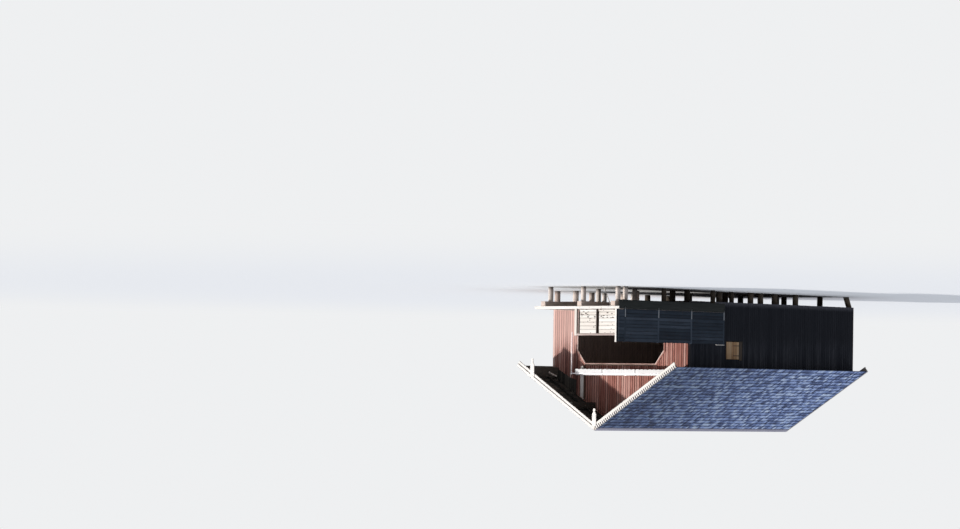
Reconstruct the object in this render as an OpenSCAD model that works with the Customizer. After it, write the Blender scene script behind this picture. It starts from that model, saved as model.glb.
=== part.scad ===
// Lakeside boathouse on timber piles, with a bathing deck, a boarded screen and a retracted awning.
// Millimetres, +Z up. The water surface is z = 0, the entrance gable faces -Y,
// and the origin lies on the water surface under the middle of the whole building.

/* [House] */
// Width of the house across its gable, over the wall boards
house_w = 7200; // [6000:50:9000]
// Length of the house along its ridge, over the wall boards
house_l = 10150; // [7000:50:12000]
// Thickness of the boarded stud walls
wall_t = 120; // [80:5:200]
// Height of the lower edge of the wall boards above the water
wall_base_z = 420; // [300:10:500]

/* [Roof] */
// Slope of both roof halves in degrees
roof_pitch = 30.5; // [26:0.5:34]
// Height of the roof boarding at the ridge above the water
ridge_z = 5490; // [5300:10:6200]
// Thickness of the roof boarding with its rafters, square to the slope
roof_t = 110; // [80:5:140]
// Reach of the eaves past the side walls
eave_out = 620; // [400:10:800]
// Reach of the roof past the entrance gable
front_out = 1360; // [1000:10:1800]
// Reach of the roof past the back gable
back_out = 120; // [100:10:500]
// Thickness of the shingle covering that lies on the boarding
shingle_t = 20; // [15:1:30]
// Width of each wing of the ridge cap
ridge_cap_w = 150; // [100:5:250]
// Height of the ridge cap above the shingles
cap_board_t = 20; // [15:1:40]

/* [Verges] */
// Thickness of one verge board
board_t = 30; // [20:1:40]
// Height of the upper verge board, square to the slope
verge_upper_h = 120; // [90:5:160]
// Height of the lower verge board, square to the slope
verge_lower_h = 115; // [80:5:160]
// Height of the upper verge board above the shingles
verge_over = 5; // [0:1:20]

/* [Purlins] */
// Width of the ridge purlin
ridge_purlin_w = 180; // [120:10:240]
// Height of the ridge purlin
ridge_purlin_h = 250; // [180:10:320]
// Distance of each middle purlin from the middle of the gable
mid_purlin_x = 1310; // [1100:10:1700]
// Width of a middle purlin
mid_purlin_w = 160; // [120:10:200]
// Height of a middle purlin
mid_purlin_h = 120; // [100:5:140]
// Width of an eave purlin
eave_purlin_w = 200; // [140:10:240]
// Height of an eave purlin at its outer side
eave_purlin_h = 270; // [180:10:300]
// Reach of the left eave purlin past the entrance gable
eave_purlin_out = 450; // [200:10:900]
// Section of the tie beams and their posts
tie_s = 160; // [120:10:200]
// Distance of the first tie beam behind the entrance gable
tie_first_y = 3300; // [2500:50:3600]
// Spacing of the two tie beams
tie_pitch = 3400; // [2500:50:3600]

/* [Entrance] */
// Width of the boat entrance
opening_w = 4540; // [3600:20:5000]
// Shift of the entrance from the middle of the gable
opening_shift = -60; // [-200:10:200]
// Height of the boards between the entrance and the eave purlins
header_h = 172; // [100:1:300]
// Width of the boards that cut each upper corner
corner_w = 420; // [300:10:600]
// Height of the boards that cut each upper corner
corner_h = 520; // [300:10:700]
// Width of the trim round the entrance
trim_w = 90; // [60:5:120]
// Thickness of the trim round the entrance
trim_t = 22; // [15:1:30]

/* [Windows] */
// Width of the side window
window_w = 750; // [500:10:1000]
// Height of the side window
window_h = 690; // [500:10:800]
// Height of the window's lower edge above the water
window_z = 1970; // [1600:10:2100]
// Distance of the window's middle behind the entrance gable
window_y = 2620; // [2000:20:5000]
// Width of the window's frame
window_frame = 60; // [40:5:90]
// Thickness of the closed shutter board
shutter_t = 30; // [20:1:40]
// Distance by which the window's frame stands proud of the wall
frame_proud = 15; // [5:1:40]

/* [Deck] */
// Height of the deck's surface above the water
deck_z = 860; // [760:10:950]
// Thickness of the deck boards
deck_t = 45; // [30:1:60]
// Reach of the deck in front of the entrance gable
deck_depth = 4965; // [3500:5:6000]
// Width of the walkway along the left wall
walk_w = 870; // [700:10:1200]
// Reach of the walkway behind the entrance gable
walk_back = 1140; // [800:10:1600]
// Distance of the deck's right edge from the middle of the gable, to the left
deck_right = 80; // [0:10:600]
// Height of the board along the deck's front edge
fascia_h = 105; // [100:5:180]
// Width of a long deck beam
beam_w = 220; // [160:10:260]
// Height of a long deck beam
beam_h = 250; // [180:10:300]
// Distance of the left beam's middle inside the deck's left edge
beam_left_in = 345; // [250:5:400]
// Distance of the middle beam's middle inside the deck's left edge
beam_middle_in = 2070; // [1900:10:2300]
// Distance of the right beam's middle inside the deck's right edge
beam_right_in = 420; // [300:10:600]
// Height of the beam along the deck's left edge
edge_beam_h = 300; // [200:10:350]
// Width of the sill beams inside the walls
sill_w = 180; // [140:10:240]

/* [Screen] */
// Height of the side screen above the deck
screen_h = 1250; // [1000:10:1500]
// Section of a screen post
screen_post_s = 80; // [60:5:100]
// Thickness of the screen's boards
screen_board_t = 28; // [20:1:40]
// Length of one screen bay, from post to post
screen_bay = 1900; // [1500:5:1950]
// Gap under the screen's boards
screen_lift = 25; // [10:5:80]
// Distance of the screen's boards inside the deck's left edge
screen_in = 10; // [0:5:40]
// Distance by which the posts stand above the boards and rails beside them
post_rise = 10; // [5:5:40]

/* [Parapet] */
// Height of the front parapet above the deck
parapet_h = 1010; // [900:10:1100]
// Section of the deck's corner post
corner_post_s = 80; // [80:5:140]
// Distance of the corner post inside the deck's left edge
corner_post_in = 120; // [85:5:150]
// Width of the parapet's end post
end_post_w = 115; // [100:5:160]
// Length of the parapet with both end posts
parapet_l = 2170; // [1800:10:2500]
// Width of the gap beside each parapet panel
parapet_gap = 155; // [80:5:200]
// Height of the parapet's top rail
top_rail_h = 70; // [50:5:90]
// Width of the parapet's top rail
top_rail_w = 120; // [80:5:160]
// Distance of the top rail behind the deck's front edge
top_rail_in = 5; // [0:5:20]
// Distance of the panels behind the deck's front edge
panel_in = 20; // [0:5:40]
// Thickness of the parapet's boards
parapet_board_t = 28; // [20:1:40]
// Section of the small posts behind the panels
back_post_s = 80; // [60:5:100]

/* [Awning] */
// Length of the awning's cloth
awning_l = 4730; // [4000:10:5000]
// Distance of the cloth's right end from the middle of the gable
awning_right = 2030; // [1700:10:2200]
// Height of the roller's middle above the entrance
awning_rise = 420; // [380:5:460]
// Diameter of the rolled cloth
awning_roll_d = 130; // [100:5:160]
// Distance of the roller's middle in front of the gable
awning_out = 270; // [200:5:300]
// Thickness of the bracket plates
bracket_t = 12; // [6:1:20]
// Reach of a bracket's wall plate below the roller
bracket_h = 80; // [50:5:120]
// Height of the hanging valance
valance_h = 165; // [120:5:200]
// Depth of the scallops along the valance
scallop_h = 40; // [20:5:60]
// Width of one scallop
scallop_w = 215; // [150:5:300]
// Thickness of the valance's cloth and hem
valance_t = 12; // [6:1:20]
// Section of the awning's front bar and shaft
bar_s = 50; // [40:5:60]
// Reach of the shaft past the cloth's right end
shaft_out = 240; // [150:10:300]
// Size of the gear box on the shaft's end
gear_s = 70; // [50:5:90]
// Length of the crank rod
crank_l = 1600; // [1200:20:2000]
// Diameter of the crank rod
crank_d = 36; // [20:1:45]

/* [Pendants] */
// Width of the carved pendants
pendant_w = 200; // [140:10:240]
// Length of the apex pendant below the ridge purlin's underside
apex_pendant_drop = 400; // [250:10:600]
// Length of the pendant at the right eave below the eave purlin
eave_pendant_drop = 320; // [200:10:400]
// Width of the hanging post on the gable, beside the awning's right end
hanging_post_w = 200; // [120:10:220]
// Depth of the hanging post in front of the gable
hanging_post_d = 110; // [60:5:150]
// Distance of the hanging post's middle inside the awning's right end
hanging_post_in = 140; // [120:10:180]
// Gap between the hanging post's foot and the trim over the entrance
hanging_post_gap = 10; // [5:5:60]

/* [Piles] */
// Diameter of the round piles
pile_d = 240; // [180:10:300]
// Diameter of the slim piles under the deck
slim_pile_d = 200; // [140:10:240]
// Diameter of the raking rod under the deck
rod_d = 40; // [25:1:60]

/* [Hidden] */
$fn = 40;

// Distance by which a cutting shape runs past the face that it cuts
spare = 1;

half_w = house_w / 2;
slope = tan(roof_pitch);
eave_x = half_w + eave_out;
deck_left_x = -half_w - walk_w;
deck_right_x = -deck_right;
deck_under = deck_z - deck_t;
beam_z = deck_under - beam_h;
deck_front_y = -deck_depth;
deck_inner_y = deck_front_y + board_t;
inner_x = half_w - wall_t;
sill_x = inner_x - sill_w;
sill_mid_x = inner_x - sill_w / 2;
back_in_y = house_l - wall_t;
opening_left_x = opening_shift - opening_w / 2;
opening_right_x = opening_shift + opening_w / 2;
beam_left_x = deck_left_x + beam_left_in;
beam_right_x = deck_right_x - beam_right_in;
beam_middle_x = deck_left_x + beam_middle_in;
roof_front_y = -front_out;
roof_back_y = house_l + back_out;
verge_rise = shingle_t + verge_over;
verge_back_y = roof_back_y + 2 * board_t;
cap_t = shingle_t + cap_board_t;
corner_post_x = deck_left_x + corner_post_in;
panel_x = corner_post_x + corner_post_s;
panel_l = (parapet_l - corner_post_s - end_post_w - 2 * parapet_gap) / 2;
panel_pitch = panel_l + parapet_gap;
end_post_x = corner_post_x + parapet_l - end_post_w;
screen_first_y = walk_back - screen_post_s;
// Distance of the front piles' middles behind the gable's face, and inside the house's corner
front_pile_in = [70, 150];
// Places of the wall piles as shares of the wall's length, as irregular as they were driven
wall_pile_shares = [0.2, 0.274, 0.387, 0.447, 0.532, 0.66];
// The wall pile that is slimmer than the others
slim_wall_pile = 1;
// Places of the piles under the long beams, as shares of the house's length
beam_pile_shares = [0.04, 0.35, 0.66, 0.93];
// Distances behind the deck's front edge of the piles under the left, middle and right beam
left_beam_piles = [315, 725, 2925];
middle_beam_piles = [255, 3165];
right_beam_piles = [455, 3165];
// Lean of the raking corner pile, and distance of its top inside the back gable's face
pile_lean = 200;
leaning_top_in = 60;
// Top of the raking rod behind and beside the deck's front left corner, and the lean of its foot
rod_top = [540, 170];
rod_lean = [1350, 1040];
// Width of an end of the turned finials, and of their neck
knob_d = 120;
neck_w = 70;
// Places of the awning brackets as shares of the roller's length
bracket_shares = [0.04, 0.5, 0.9];

// Height of the roof boarding's top at a distance x from the ridge line
function roof_top(x) = ridge_z - slope * abs(x);
// Height of a plane that lies a depth d square below the boarding's top, at a distance x
function below_roof(x, d) = roof_top(x) - d / cos(roof_pitch);
// Height of the roof's underside at a distance x from the ridge line
function roof_under(x) = below_roof(x, roof_t);
// A point at distance x along the roof, a depth d square below the boarding's top
function in_roof(x, d) = [x - d * sin(roof_pitch), roof_top(x) - d * cos(roof_pitch)];

mid_x = (deck_left_x + in_roof(eave_x, -verge_rise)[0]) / 2;
mid_y = (deck_front_y + verge_back_y) / 2;
eave_purlin_z = roof_under(inner_x) - eave_purlin_h;
tie_z = eave_purlin_z - tie_s;
opening_top = eave_purlin_z - header_h;
awning_left = awning_right - awning_l;
awning_z = opening_top + awning_rise;
// Depth to which the awning's front bar is let into the rolled cloth
bar_seat = 2;
mid_purlin_z = roof_under(mid_purlin_x + mid_purlin_w / 2) - mid_purlin_h;
ridge_purlin_z = roof_under(ridge_purlin_w / 2) - ridge_purlin_h;
verge_split = verge_upper_h - verge_rise;
verge_low = verge_split + verge_lower_h;

// Puts the house's own frame, centred on its entrance gable, over the origin of the part
module home() {
    translate([-mid_x, -mid_y, 0]) children();
}

// Extrudes an outline drawn in X and Z from y0 to y1
module along_y(y0, y1) {
    translate([0, y1, 0]) rotate([90, 0, 0]) linear_extrude(y1 - y0) children();
}

// A box between two corners
module block(low, high) {
    translate(low) cube(high - low);
}

// Draws its children and their mirror image across the ridge plane
module both_sides() {
    children();
    mirror([1, 0, 0]) children();
}

// One layer of the right roof half, between two depths below the boarding's top
module slope_layer(d0, d1) {
    polygon([[0, below_roof(0, d0)], in_roof(eave_x, d0), in_roof(eave_x, d1), [0, below_roof(0, d1)]]);
}

// An upright round pile from the water up to a height
module pile(x, y, top, d = pile_d) {
    translate([x, y, 0]) cylinder(h = top, d = d);
}

// A round bar between two points, with a length past both ends to be cut there
module raking_bar(foot, top, d, past) {
    run = top - foot;
    translate(foot) rotate([0, acos(run[2] / norm(run)), atan2(run[1], run[0])])
        translate([0, 0, -past]) cylinder(h = norm(run) + 2 * past, d = d);
}

// The piles under one side wall, drawn for the right side
module wall_piles() {
    pile(half_w - front_pile_in[1], front_pile_in[0], wall_base_z);
    for (i = [0 : len(wall_pile_shares) - 1])
        pile(sill_mid_x, wall_pile_shares[i] * house_l, wall_base_z,
            i == slim_wall_pile ? slim_pile_d : pile_d);
}

// A pile at the back corner that leans along the wall, cut level at the water and under the wall
module leaning_pile() {
    y = house_l - leaning_top_in;
    intersection() {
        raking_bar([sill_mid_x, y - pile_lean, 0], [sill_mid_x, y, wall_base_z], pile_d, pile_d);
        block([0, 0, 0], [house_w, house_l + pile_d, wall_base_z]);
    }
}

// Piles under the left wall, the last one leaning
module house_piles_left() {
    color("#4b4338") home() mirror([1, 0, 0]) {
        wall_piles();
        leaning_pile();
    }
}

// Piles under the right wall
module house_piles_right() {
    color("#6b5f50") home() {
        wall_piles();
        pile(sill_mid_x, back_in_y - sill_w / 2, wall_base_z);
    }
}

// Piles under the two long floor beams and the right side of the entrance
module inner_piles() {
    color("#5a5044") home() {
        for (x = [beam_middle_x, beam_right_x], share = beam_pile_shares)
            pile(x, share * house_l, beam_z);
        pile(opening_right_x + pile_d, front_pile_in[0], wall_base_z);
    }
}

// Slim piles under the deck's long beams
module deck_piles() {
    color("#b8a48c") home() {
        for (d = left_beam_piles) pile(beam_left_x, deck_front_y + d, beam_z, slim_pile_d);
        for (d = middle_beam_piles) pile(beam_middle_x, deck_front_y + d, beam_z, slim_pile_d);
        for (d = right_beam_piles) pile(beam_right_x, deck_front_y + d, beam_z, slim_pile_d);
        pile(beam_left_x, walk_back - slim_pile_d * 1.6, beam_z, slim_pile_d);
    }
}

// Light rod that rakes from under the deck boards down into the water
module raking_rod() {
    top = [deck_left_x + rod_top[0], deck_front_y + rod_top[1], deck_under];
    foot = [top[0] + rod_lean[0], top[1] + rod_lean[1], 0];
    color("#d9d6d0") home() intersection() {
        raking_bar(foot, top, rod_d, rod_d * 4);
        block([deck_left_x, deck_front_y, 0], [0, 0, deck_under]);
    }
}

// Sill beams inside the walls, with the boat's way in left open
module sill_beams() {
    beam_side = beam_middle_x - beam_w / 2;
    color("#4a3a2e") home() {
        both_sides() block([sill_x, wall_t, wall_base_z], [inner_x, back_in_y, deck_under]);
        block([-sill_x, back_in_y - sill_w, wall_base_z], [sill_x, back_in_y, deck_under]);
        block([-sill_x, wall_t, wall_base_z], [beam_side, wall_t + sill_w, deck_under]);
        block([opening_right_x, wall_t, wall_base_z], [sill_x, wall_t + sill_w, deck_under]);
    }
}

// One long beam of the deck, from the front board back to y1
module long_beam(x, y1) {
    block([x - beam_w / 2, deck_inner_y, beam_z], [x + beam_w / 2, y1, deck_under]);
}

module deck_beam_left() {
    color("#cdbfa6") home() long_beam(beam_left_x, walk_back);
}

module deck_beam_middle() {
    color("#cdbfa6") home() long_beam(beam_middle_x, back_in_y - sill_w);
}

module deck_beam_right() {
    color("#cdbfa6") home() long_beam(beam_right_x, back_in_y - sill_w);
}

// Deep beam under the deck's left edge, below the screen
module deck_edge_beam() {
    color("#57514b") home()
        block([deck_left_x, deck_inner_y, deck_under - edge_beam_h],
            [deck_left_x + 2 * board_t, walk_back, deck_under]);
}

// Floor inside the house beside the boat's place
module inner_floor() {
    color("#6d5c4a") home() {
        block([opening_left_x, 0, deck_under], [deck_right_x, wall_t, deck_z]);
        block([-inner_x, wall_t, deck_under], [deck_right_x, back_in_y, deck_z]);
    }
}

// Bathing deck in front of the entrance
module deck_floor() {
    color("#b9ab97") home() block([deck_left_x, deck_inner_y, deck_under], [deck_right_x, 0, deck_z]);
}

// Walkway beside the left wall
module walkway_floor() {
    color("#8f8577") home() block([deck_left_x, 0, deck_under], [-half_w, walk_back, deck_z]);
}

// Cream board along the deck's front edge
module deck_fascia() {
    color("#efe8d8") home()
        block([deck_left_x, deck_front_y, deck_z - fascia_h], [deck_right_x, deck_inner_y, deck_z]);
}

// One side wall, drawn for the right side, with its window hole
module side_wall() {
    difference() {
        along_y(wall_t, back_in_y) polygon([[inner_x, wall_base_z], [half_w, wall_base_z],
            [half_w, roof_under(half_w)], [inner_x, roof_under(inner_x)]]);
        translate([0, window_y, window_z])
            block([inner_x - spare, -window_w / 2, 0], [half_w + spare, window_w / 2, window_h]);
    }
}

module left_wall() {
    color("#3a2a22") home() mirror([1, 0, 0]) side_wall();
}

module right_wall() {
    color("#8a5848") home() side_wall();
}

// Outline of the whole gable above a height
module gable_outline(z0) {
    polygon([[-half_w, z0], [half_w, z0], [half_w, roof_under(half_w)], [0, roof_under(0)],
        [-half_w, roof_under(half_w)]]);
}

// Outlines of the purlins, which pass through the gable walls
module purlin_outlines() {
    ridge_purlin_outline();
    both_sides() mid_purlin_outline();
    both_sides() eave_purlin_outline();
}

module ridge_purlin_outline() {
    side = ridge_purlin_w / 2;
    polygon([[-side, ridge_purlin_z], [side, ridge_purlin_z], [side, roof_under(side)],
        [0, roof_under(0)], [-side, roof_under(side)]]);
}

// Outline of a purlin between two distances from the ridge, with its top cut to the roof's slope
module bevelled_outline(x0, x1, z0) {
    polygon([[x0, z0], [x1, z0], [x1, roof_under(x1)], [x0, roof_under(x0)]]);
}

module mid_purlin_outline() {
    side = mid_purlin_w / 2;
    bevelled_outline(mid_purlin_x - side, mid_purlin_x + side, mid_purlin_z);
}

module eave_purlin_outline() {
    bevelled_outline(inner_x - eave_purlin_w, inner_x, eave_purlin_z);
}

module back_wall() {
    color("#7d5142") home() along_y(back_in_y, house_l) difference() {
        gable_outline(wall_base_z);
        purlin_outlines();
    }
}

// Wall beside the entrance, drawn for the right side, with the board that cuts the upper corner
module entrance_side(jamb_x) {
    polygon([[jamb_x, wall_base_z], [half_w, wall_base_z], [half_w, opening_top],
        [jamb_x - corner_w, opening_top], [jamb_x, opening_top - corner_h]]);
}

module front_wall_left() {
    color("#a5705e") home() difference() {
        mirror([1, 0, 0]) along_y(0, wall_t) entrance_side(-opening_left_x);
        long_beam(beam_middle_x, wall_t + spare);
    }
}

module front_wall_right() {
    color("#b07a66") home() along_y(0, wall_t) entrance_side(opening_right_x);
}

// Gable above the entrance
module front_gable() {
    color("#a5705e") home() along_y(0, wall_t) difference() {
        gable_outline(opening_top);
        purlin_outlines();
    }
}

// Outline of the entrance with its cut corners, grown by an amount on its sides and top
module entrance_outline(grow) {
    polygon([[opening_left_x - grow, deck_z], [opening_right_x + grow, deck_z],
        [opening_right_x + grow, opening_top - corner_h + grow * 0.4],
        [opening_right_x - corner_w + grow * 0.5, opening_top + grow],
        [opening_left_x + corner_w - grow * 0.5, opening_top + grow],
        [opening_left_x - grow, opening_top - corner_h + grow * 0.4]]);
}

// Light boards round the entrance
module entrance_trim() {
    color("#d8b9a4") home() along_y(-trim_t, 0) difference() {
        entrance_outline(trim_w);
        entrance_outline(0);
        translate([-half_w, 0]) square([house_w, deck_z + spare]);
    }
}

// Frame and closed shutter of a side window, drawn for the right side
module window_unit() {
    translate([0, window_y, window_z]) {
        difference() {
            block([inner_x, -window_w / 2, 0], [half_w + frame_proud, window_w / 2, window_h]);
            block([inner_x - spare, window_frame - window_w / 2, window_frame],
                [half_w + frame_proud + spare, window_w / 2 - window_frame, window_h - window_frame]);
        }
        block([half_w - shutter_t, window_frame - window_w / 2, window_frame],
            [half_w, window_w / 2 - window_frame, window_h - window_frame]);
    }
}

module window_left() {
    color("#a5744c") home() mirror([1, 0, 0]) window_unit();
}

module window_right() {
    color("#a5744c") home() window_unit();
}

// Two tie beams from wall to wall, with posts that carry the ridge and middle purlins
module tie_frames() {
    half = tie_s / 2;
    color("#6b4a38") home() for (i = [0 : 1]) translate([0, tie_first_y + i * tie_pitch, 0]) {
        block([-inner_x, -half, tie_z], [inner_x, half, eave_purlin_z]);
        block([-half, -half, eave_purlin_z], [half, half, ridge_purlin_z]);
        both_sides() block([mid_purlin_x - half, -half, eave_purlin_z],
            [mid_purlin_x + half, half, mid_purlin_z]);
    }
}

module ridge_purlin() {
    color("#5b3d2e") home() along_y(roof_front_y, roof_back_y) ridge_purlin_outline();
}

module middle_purlins() {
    color("#5b3d2e") home() both_sides() along_y(roof_front_y, roof_back_y) mid_purlin_outline();
}

// The right eave purlin runs out to the verge, where its pendant hangs, and the left one ends before it
module eave_purlins() {
    color("#5b3d2e") home() {
        along_y(roof_front_y, roof_back_y) eave_purlin_outline();
        mirror([1, 0, 0]) along_y(-eave_purlin_out, roof_back_y) eave_purlin_outline();
    }
}

// Boarding and rafters of the right roof half
module roof_half() {
    along_y(roof_front_y, roof_back_y) slope_layer(0, roof_t);
}

module roof_left() {
    color("#5c6480") home() mirror([1, 0, 0]) roof_half();
}

module roof_right() {
    color("#565e78") home() roof_half();
}

// Folded cap along the ridge
module ridge_cap() {
    low = roof_top(ridge_cap_w);
    color("#8a90a4") home() along_y(roof_front_y, roof_back_y)
        polygon([[0, ridge_z + cap_t], [ridge_cap_w, low + cap_t], [ridge_cap_w, low], [0, ridge_z],
            [-ridge_cap_w, low], [-ridge_cap_w, low + cap_t]]);
}

// Two verge boards on the right roof half, the upper one standing proud, with their faces at -Y
module verge_pair() {
    along_y(-2 * board_t, 0) slope_layer(-verge_rise, verge_split);
    along_y(-board_t, 0) slope_layer(verge_split, verge_low);
}

module verge_front_left() {
    color("#f2ecdd") home() translate([0, roof_front_y, 0]) mirror([1, 0, 0]) verge_pair();
}

module verge_front_right() {
    color("#f2ecdd") home() translate([0, roof_front_y, 0]) verge_pair();
}

module verge_back() {
    color("#e6dfcf") home() translate([0, roof_back_y, 0]) mirror([0, 1, 0]) both_sides() verge_pair();
}

// Outline of a carved pendant, its top cut to the underside of the upper verge board
module pendant_outline(x, z_neck, z_foot) {
    side = pendant_w / 2;
    difference() {
        union() {
            translate([x - side, z_neck + side]) square([pendant_w, ridge_z]);
            polygon([[x - side, z_neck + side + spare], [x - neck_w / 2, z_neck], [x - neck_w / 2, z_foot],
                [x + neck_w / 2, z_foot], [x + neck_w / 2, z_neck], [x + side, z_neck + side + spare]]);
            translate([x, z_foot + knob_d / 2]) circle(d = knob_d);
        }
        polygon([[-eave_x, below_roof(eave_x, verge_split)], [0, below_roof(0, verge_split)],
            [eave_x, below_roof(eave_x, verge_split)], [eave_x, 3 * ridge_z], [-eave_x, 3 * ridge_z]]);
    }
}

// Carved pendant at the apex, nailed over the lower verge boards
module apex_pendant() {
    foot = ridge_purlin_z - apex_pendant_drop;
    color("#f2ecdd") home() along_y(roof_front_y - 2 * board_t, roof_front_y - board_t)
        pendant_outline(0, foot + knob_d, foot);
}

// Carved pendant near the right eave
module eave_pendant() {
    foot = eave_purlin_z - eave_pendant_drop;
    color("#f2ecdd") home() along_y(roof_front_y - 2 * board_t, roof_front_y - board_t)
        pendant_outline(inner_x - pendant_w / 2, foot + knob_d * 1.2, foot);
}

// Post that hangs on the gable behind the awning, from the roof down to a tapered foot over the entrance
module hanging_post() {
    side = hanging_post_w / 2;
    taper = 0.6 * side;
    x = awning_right - hanging_post_in;
    foot = opening_top + trim_w + hanging_post_gap;
    color("#f0e9da") home() along_y(-hanging_post_d, 0)
        polygon([[x - side, roof_under(x - side)], [x + side, roof_under(x + side)],
            [x + side, foot + side], [x + taper, foot], [x - taper, foot], [x - side, foot + side]]);
}

// Rolled cloth on its shaft, with the bar along its front
module awning_roller() {
    r = awning_roll_d / 2;
    color("#f7f7f7") home() {
        translate([awning_left, -awning_out, awning_z]) rotate([0, 90, 0]) {
            cylinder(h = awning_l, d = awning_roll_d);
            translate([0, 0, -bar_s]) cylinder(h = awning_l + bar_s + shaft_out, d = bar_s);
        }
        block([awning_left, -awning_out - r - bar_s, awning_z - bar_s / 2],
            [awning_right, -awning_out - r + bar_seat, awning_z + bar_s / 2]);
    }
}

// Wall brackets under the roller
module awning_brackets() {
    r = awning_roll_d / 2;
    color("#d5d5d5") home() for (share = bracket_shares)
        translate([awning_left + share * awning_l, 0, awning_z]) {
            block([-bar_s, -awning_out - r, -r - bracket_t], [bar_s, 0, -r]);
            block([-bar_s, -bracket_t, -r - bracket_h], [bar_s, 0, r]);
        }
}

// Hanging valance with a scalloped lower edge
module awning_valance() {
    y = -awning_out - awning_roll_d / 2 - bar_s / 2;
    count = round(awning_l / scallop_w);
    pitch = awning_l / count;
    top = awning_z - bar_s / 2;
    color("#ffffff") home() along_y(y - valance_t / 2, y + valance_t / 2) union() {
        translate([awning_left, top - valance_h + scallop_h]) square([awning_l, valance_h - scallop_h]);
        for (i = [0 : count - 1]) translate([awning_left + (i + 0.5) * pitch, top - valance_h + scallop_h])
            scale([pitch / 2, scallop_h]) circle(r = 1, $fn = 24);
    }
}

// Gear box at the roller's right end with the crank rod that hangs from it
module awning_crank() {
    x = awning_right + shaft_out;
    color("#e8e4ea") home() {
        block([x, -awning_out - gear_s / 2, awning_z - gear_s * 0.8],
            [x + gear_s, -awning_out + gear_s / 2, awning_z + gear_s / 2]);
        translate([x + gear_s / 2, -awning_out, awning_z - gear_s * 0.8 - crank_l])
            cylinder(h = crank_l, d = crank_d);
    }
}

// Posts of the side screen along the deck's left edge
module screen_posts() {
    color("#3f4a4c") home() for (i = [0 : 3])
        translate([deck_left_x, screen_first_y - i * screen_bay, deck_z])
            cube([screen_post_s, screen_post_s, screen_h]);
}

// Boarded bays between the screen's posts
module screen_panels() {
    x = deck_left_x + screen_in;
    color("#2c383c") home() for (i = [0 : 2])
        block([x, screen_first_y - (i + 1) * screen_bay + screen_post_s, deck_z + screen_lift],
            [x + screen_board_t, screen_first_y - i * screen_bay, deck_z + screen_h - post_rise]);
}

// Two boarded panels of the front parapet
module parapet_panels() {
    y = deck_front_y + panel_in;
    color("#efe4cf") home() for (i = [0 : 1])
        block([panel_x + i * panel_pitch, y, deck_z + screen_lift],
            [panel_x + i * panel_pitch + panel_l, y + parapet_board_t, deck_z + parapet_h - top_rail_h]);
}

// Corner post, end post and the small posts behind the panels
module parapet_posts() {
    y = deck_front_y + panel_in + parapet_board_t;
    rail_z = deck_z + parapet_h - top_rail_h;
    color("#eadfca") home() {
        translate([corner_post_x, deck_front_y, deck_z])
            cube([corner_post_s, corner_post_s, screen_h + post_rise]);
        translate([end_post_x, deck_front_y, deck_z])
            cube([end_post_w, corner_post_s, parapet_h + post_rise]);
        for (x = [panel_x + panel_l - back_post_s, panel_x + panel_pitch,
                panel_x + panel_pitch + panel_l - back_post_s])
            block([x, y, deck_z], [x + back_post_s, y + back_post_s, rail_z]);
    }
}

// Rail along the parapet's top
module top_rail() {
    y = deck_front_y + top_rail_in;
    color("#f2e8d6") home() block([panel_x, y, deck_z + parapet_h - top_rail_h],
        [end_post_x, y + top_rail_w, deck_z + parapet_h]);
}

house_piles_left();
house_piles_right();
inner_piles();
deck_piles();
raking_rod();
sill_beams();
deck_beam_left();
deck_beam_middle();
deck_beam_right();
deck_edge_beam();
inner_floor();
deck_floor();
walkway_floor();
deck_fascia();
left_wall();
right_wall();
back_wall();
front_wall_left();
front_wall_right();
front_gable();
entrance_trim();
window_left();
window_right();
tie_frames();
ridge_purlin();
middle_purlins();
eave_purlins();
roof_left();
roof_right();
ridge_cap();
verge_front_left();
verge_front_right();
verge_back();
apex_pendant();
eave_pendant();
hanging_post();
awning_roller();
awning_brackets();
awning_valance();
awning_crank();
screen_posts();
screen_panels();
parapet_panels();
parapet_posts();
top_rail();
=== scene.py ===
"""Looks of the boathouse: its boards, shingles, logs, cloth, finishes, light and camera."""
import math
import random

import bmesh
import bpy
from mathutils import Matrix, Vector, noise


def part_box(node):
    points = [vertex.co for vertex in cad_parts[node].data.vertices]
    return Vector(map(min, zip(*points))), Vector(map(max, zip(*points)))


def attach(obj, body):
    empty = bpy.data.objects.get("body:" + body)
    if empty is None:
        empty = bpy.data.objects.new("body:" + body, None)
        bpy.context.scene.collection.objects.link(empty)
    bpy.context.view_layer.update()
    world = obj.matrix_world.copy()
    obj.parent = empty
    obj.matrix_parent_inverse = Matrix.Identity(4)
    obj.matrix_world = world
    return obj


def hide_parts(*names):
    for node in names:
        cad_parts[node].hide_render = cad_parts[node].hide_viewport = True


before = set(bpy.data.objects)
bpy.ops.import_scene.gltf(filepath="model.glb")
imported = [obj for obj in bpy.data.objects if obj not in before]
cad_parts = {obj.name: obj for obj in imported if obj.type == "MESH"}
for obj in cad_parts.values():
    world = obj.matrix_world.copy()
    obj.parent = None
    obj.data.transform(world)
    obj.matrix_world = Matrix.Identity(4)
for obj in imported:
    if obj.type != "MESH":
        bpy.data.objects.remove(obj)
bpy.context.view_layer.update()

BODY = "root"
SIDES = ((-1, "left"), (1, "right"))

# Sizes in metres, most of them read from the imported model
PITCH = math.radians(30.5)
SLOPE = math.tan(PITCH)
COS = math.cos(PITCH)
SIN = math.sin(PITCH)
gable_low, gable_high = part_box("front_gable")
roof_low, roof_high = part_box("roof_right")
trim_low, trim_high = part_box("entrance_trim")
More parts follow.
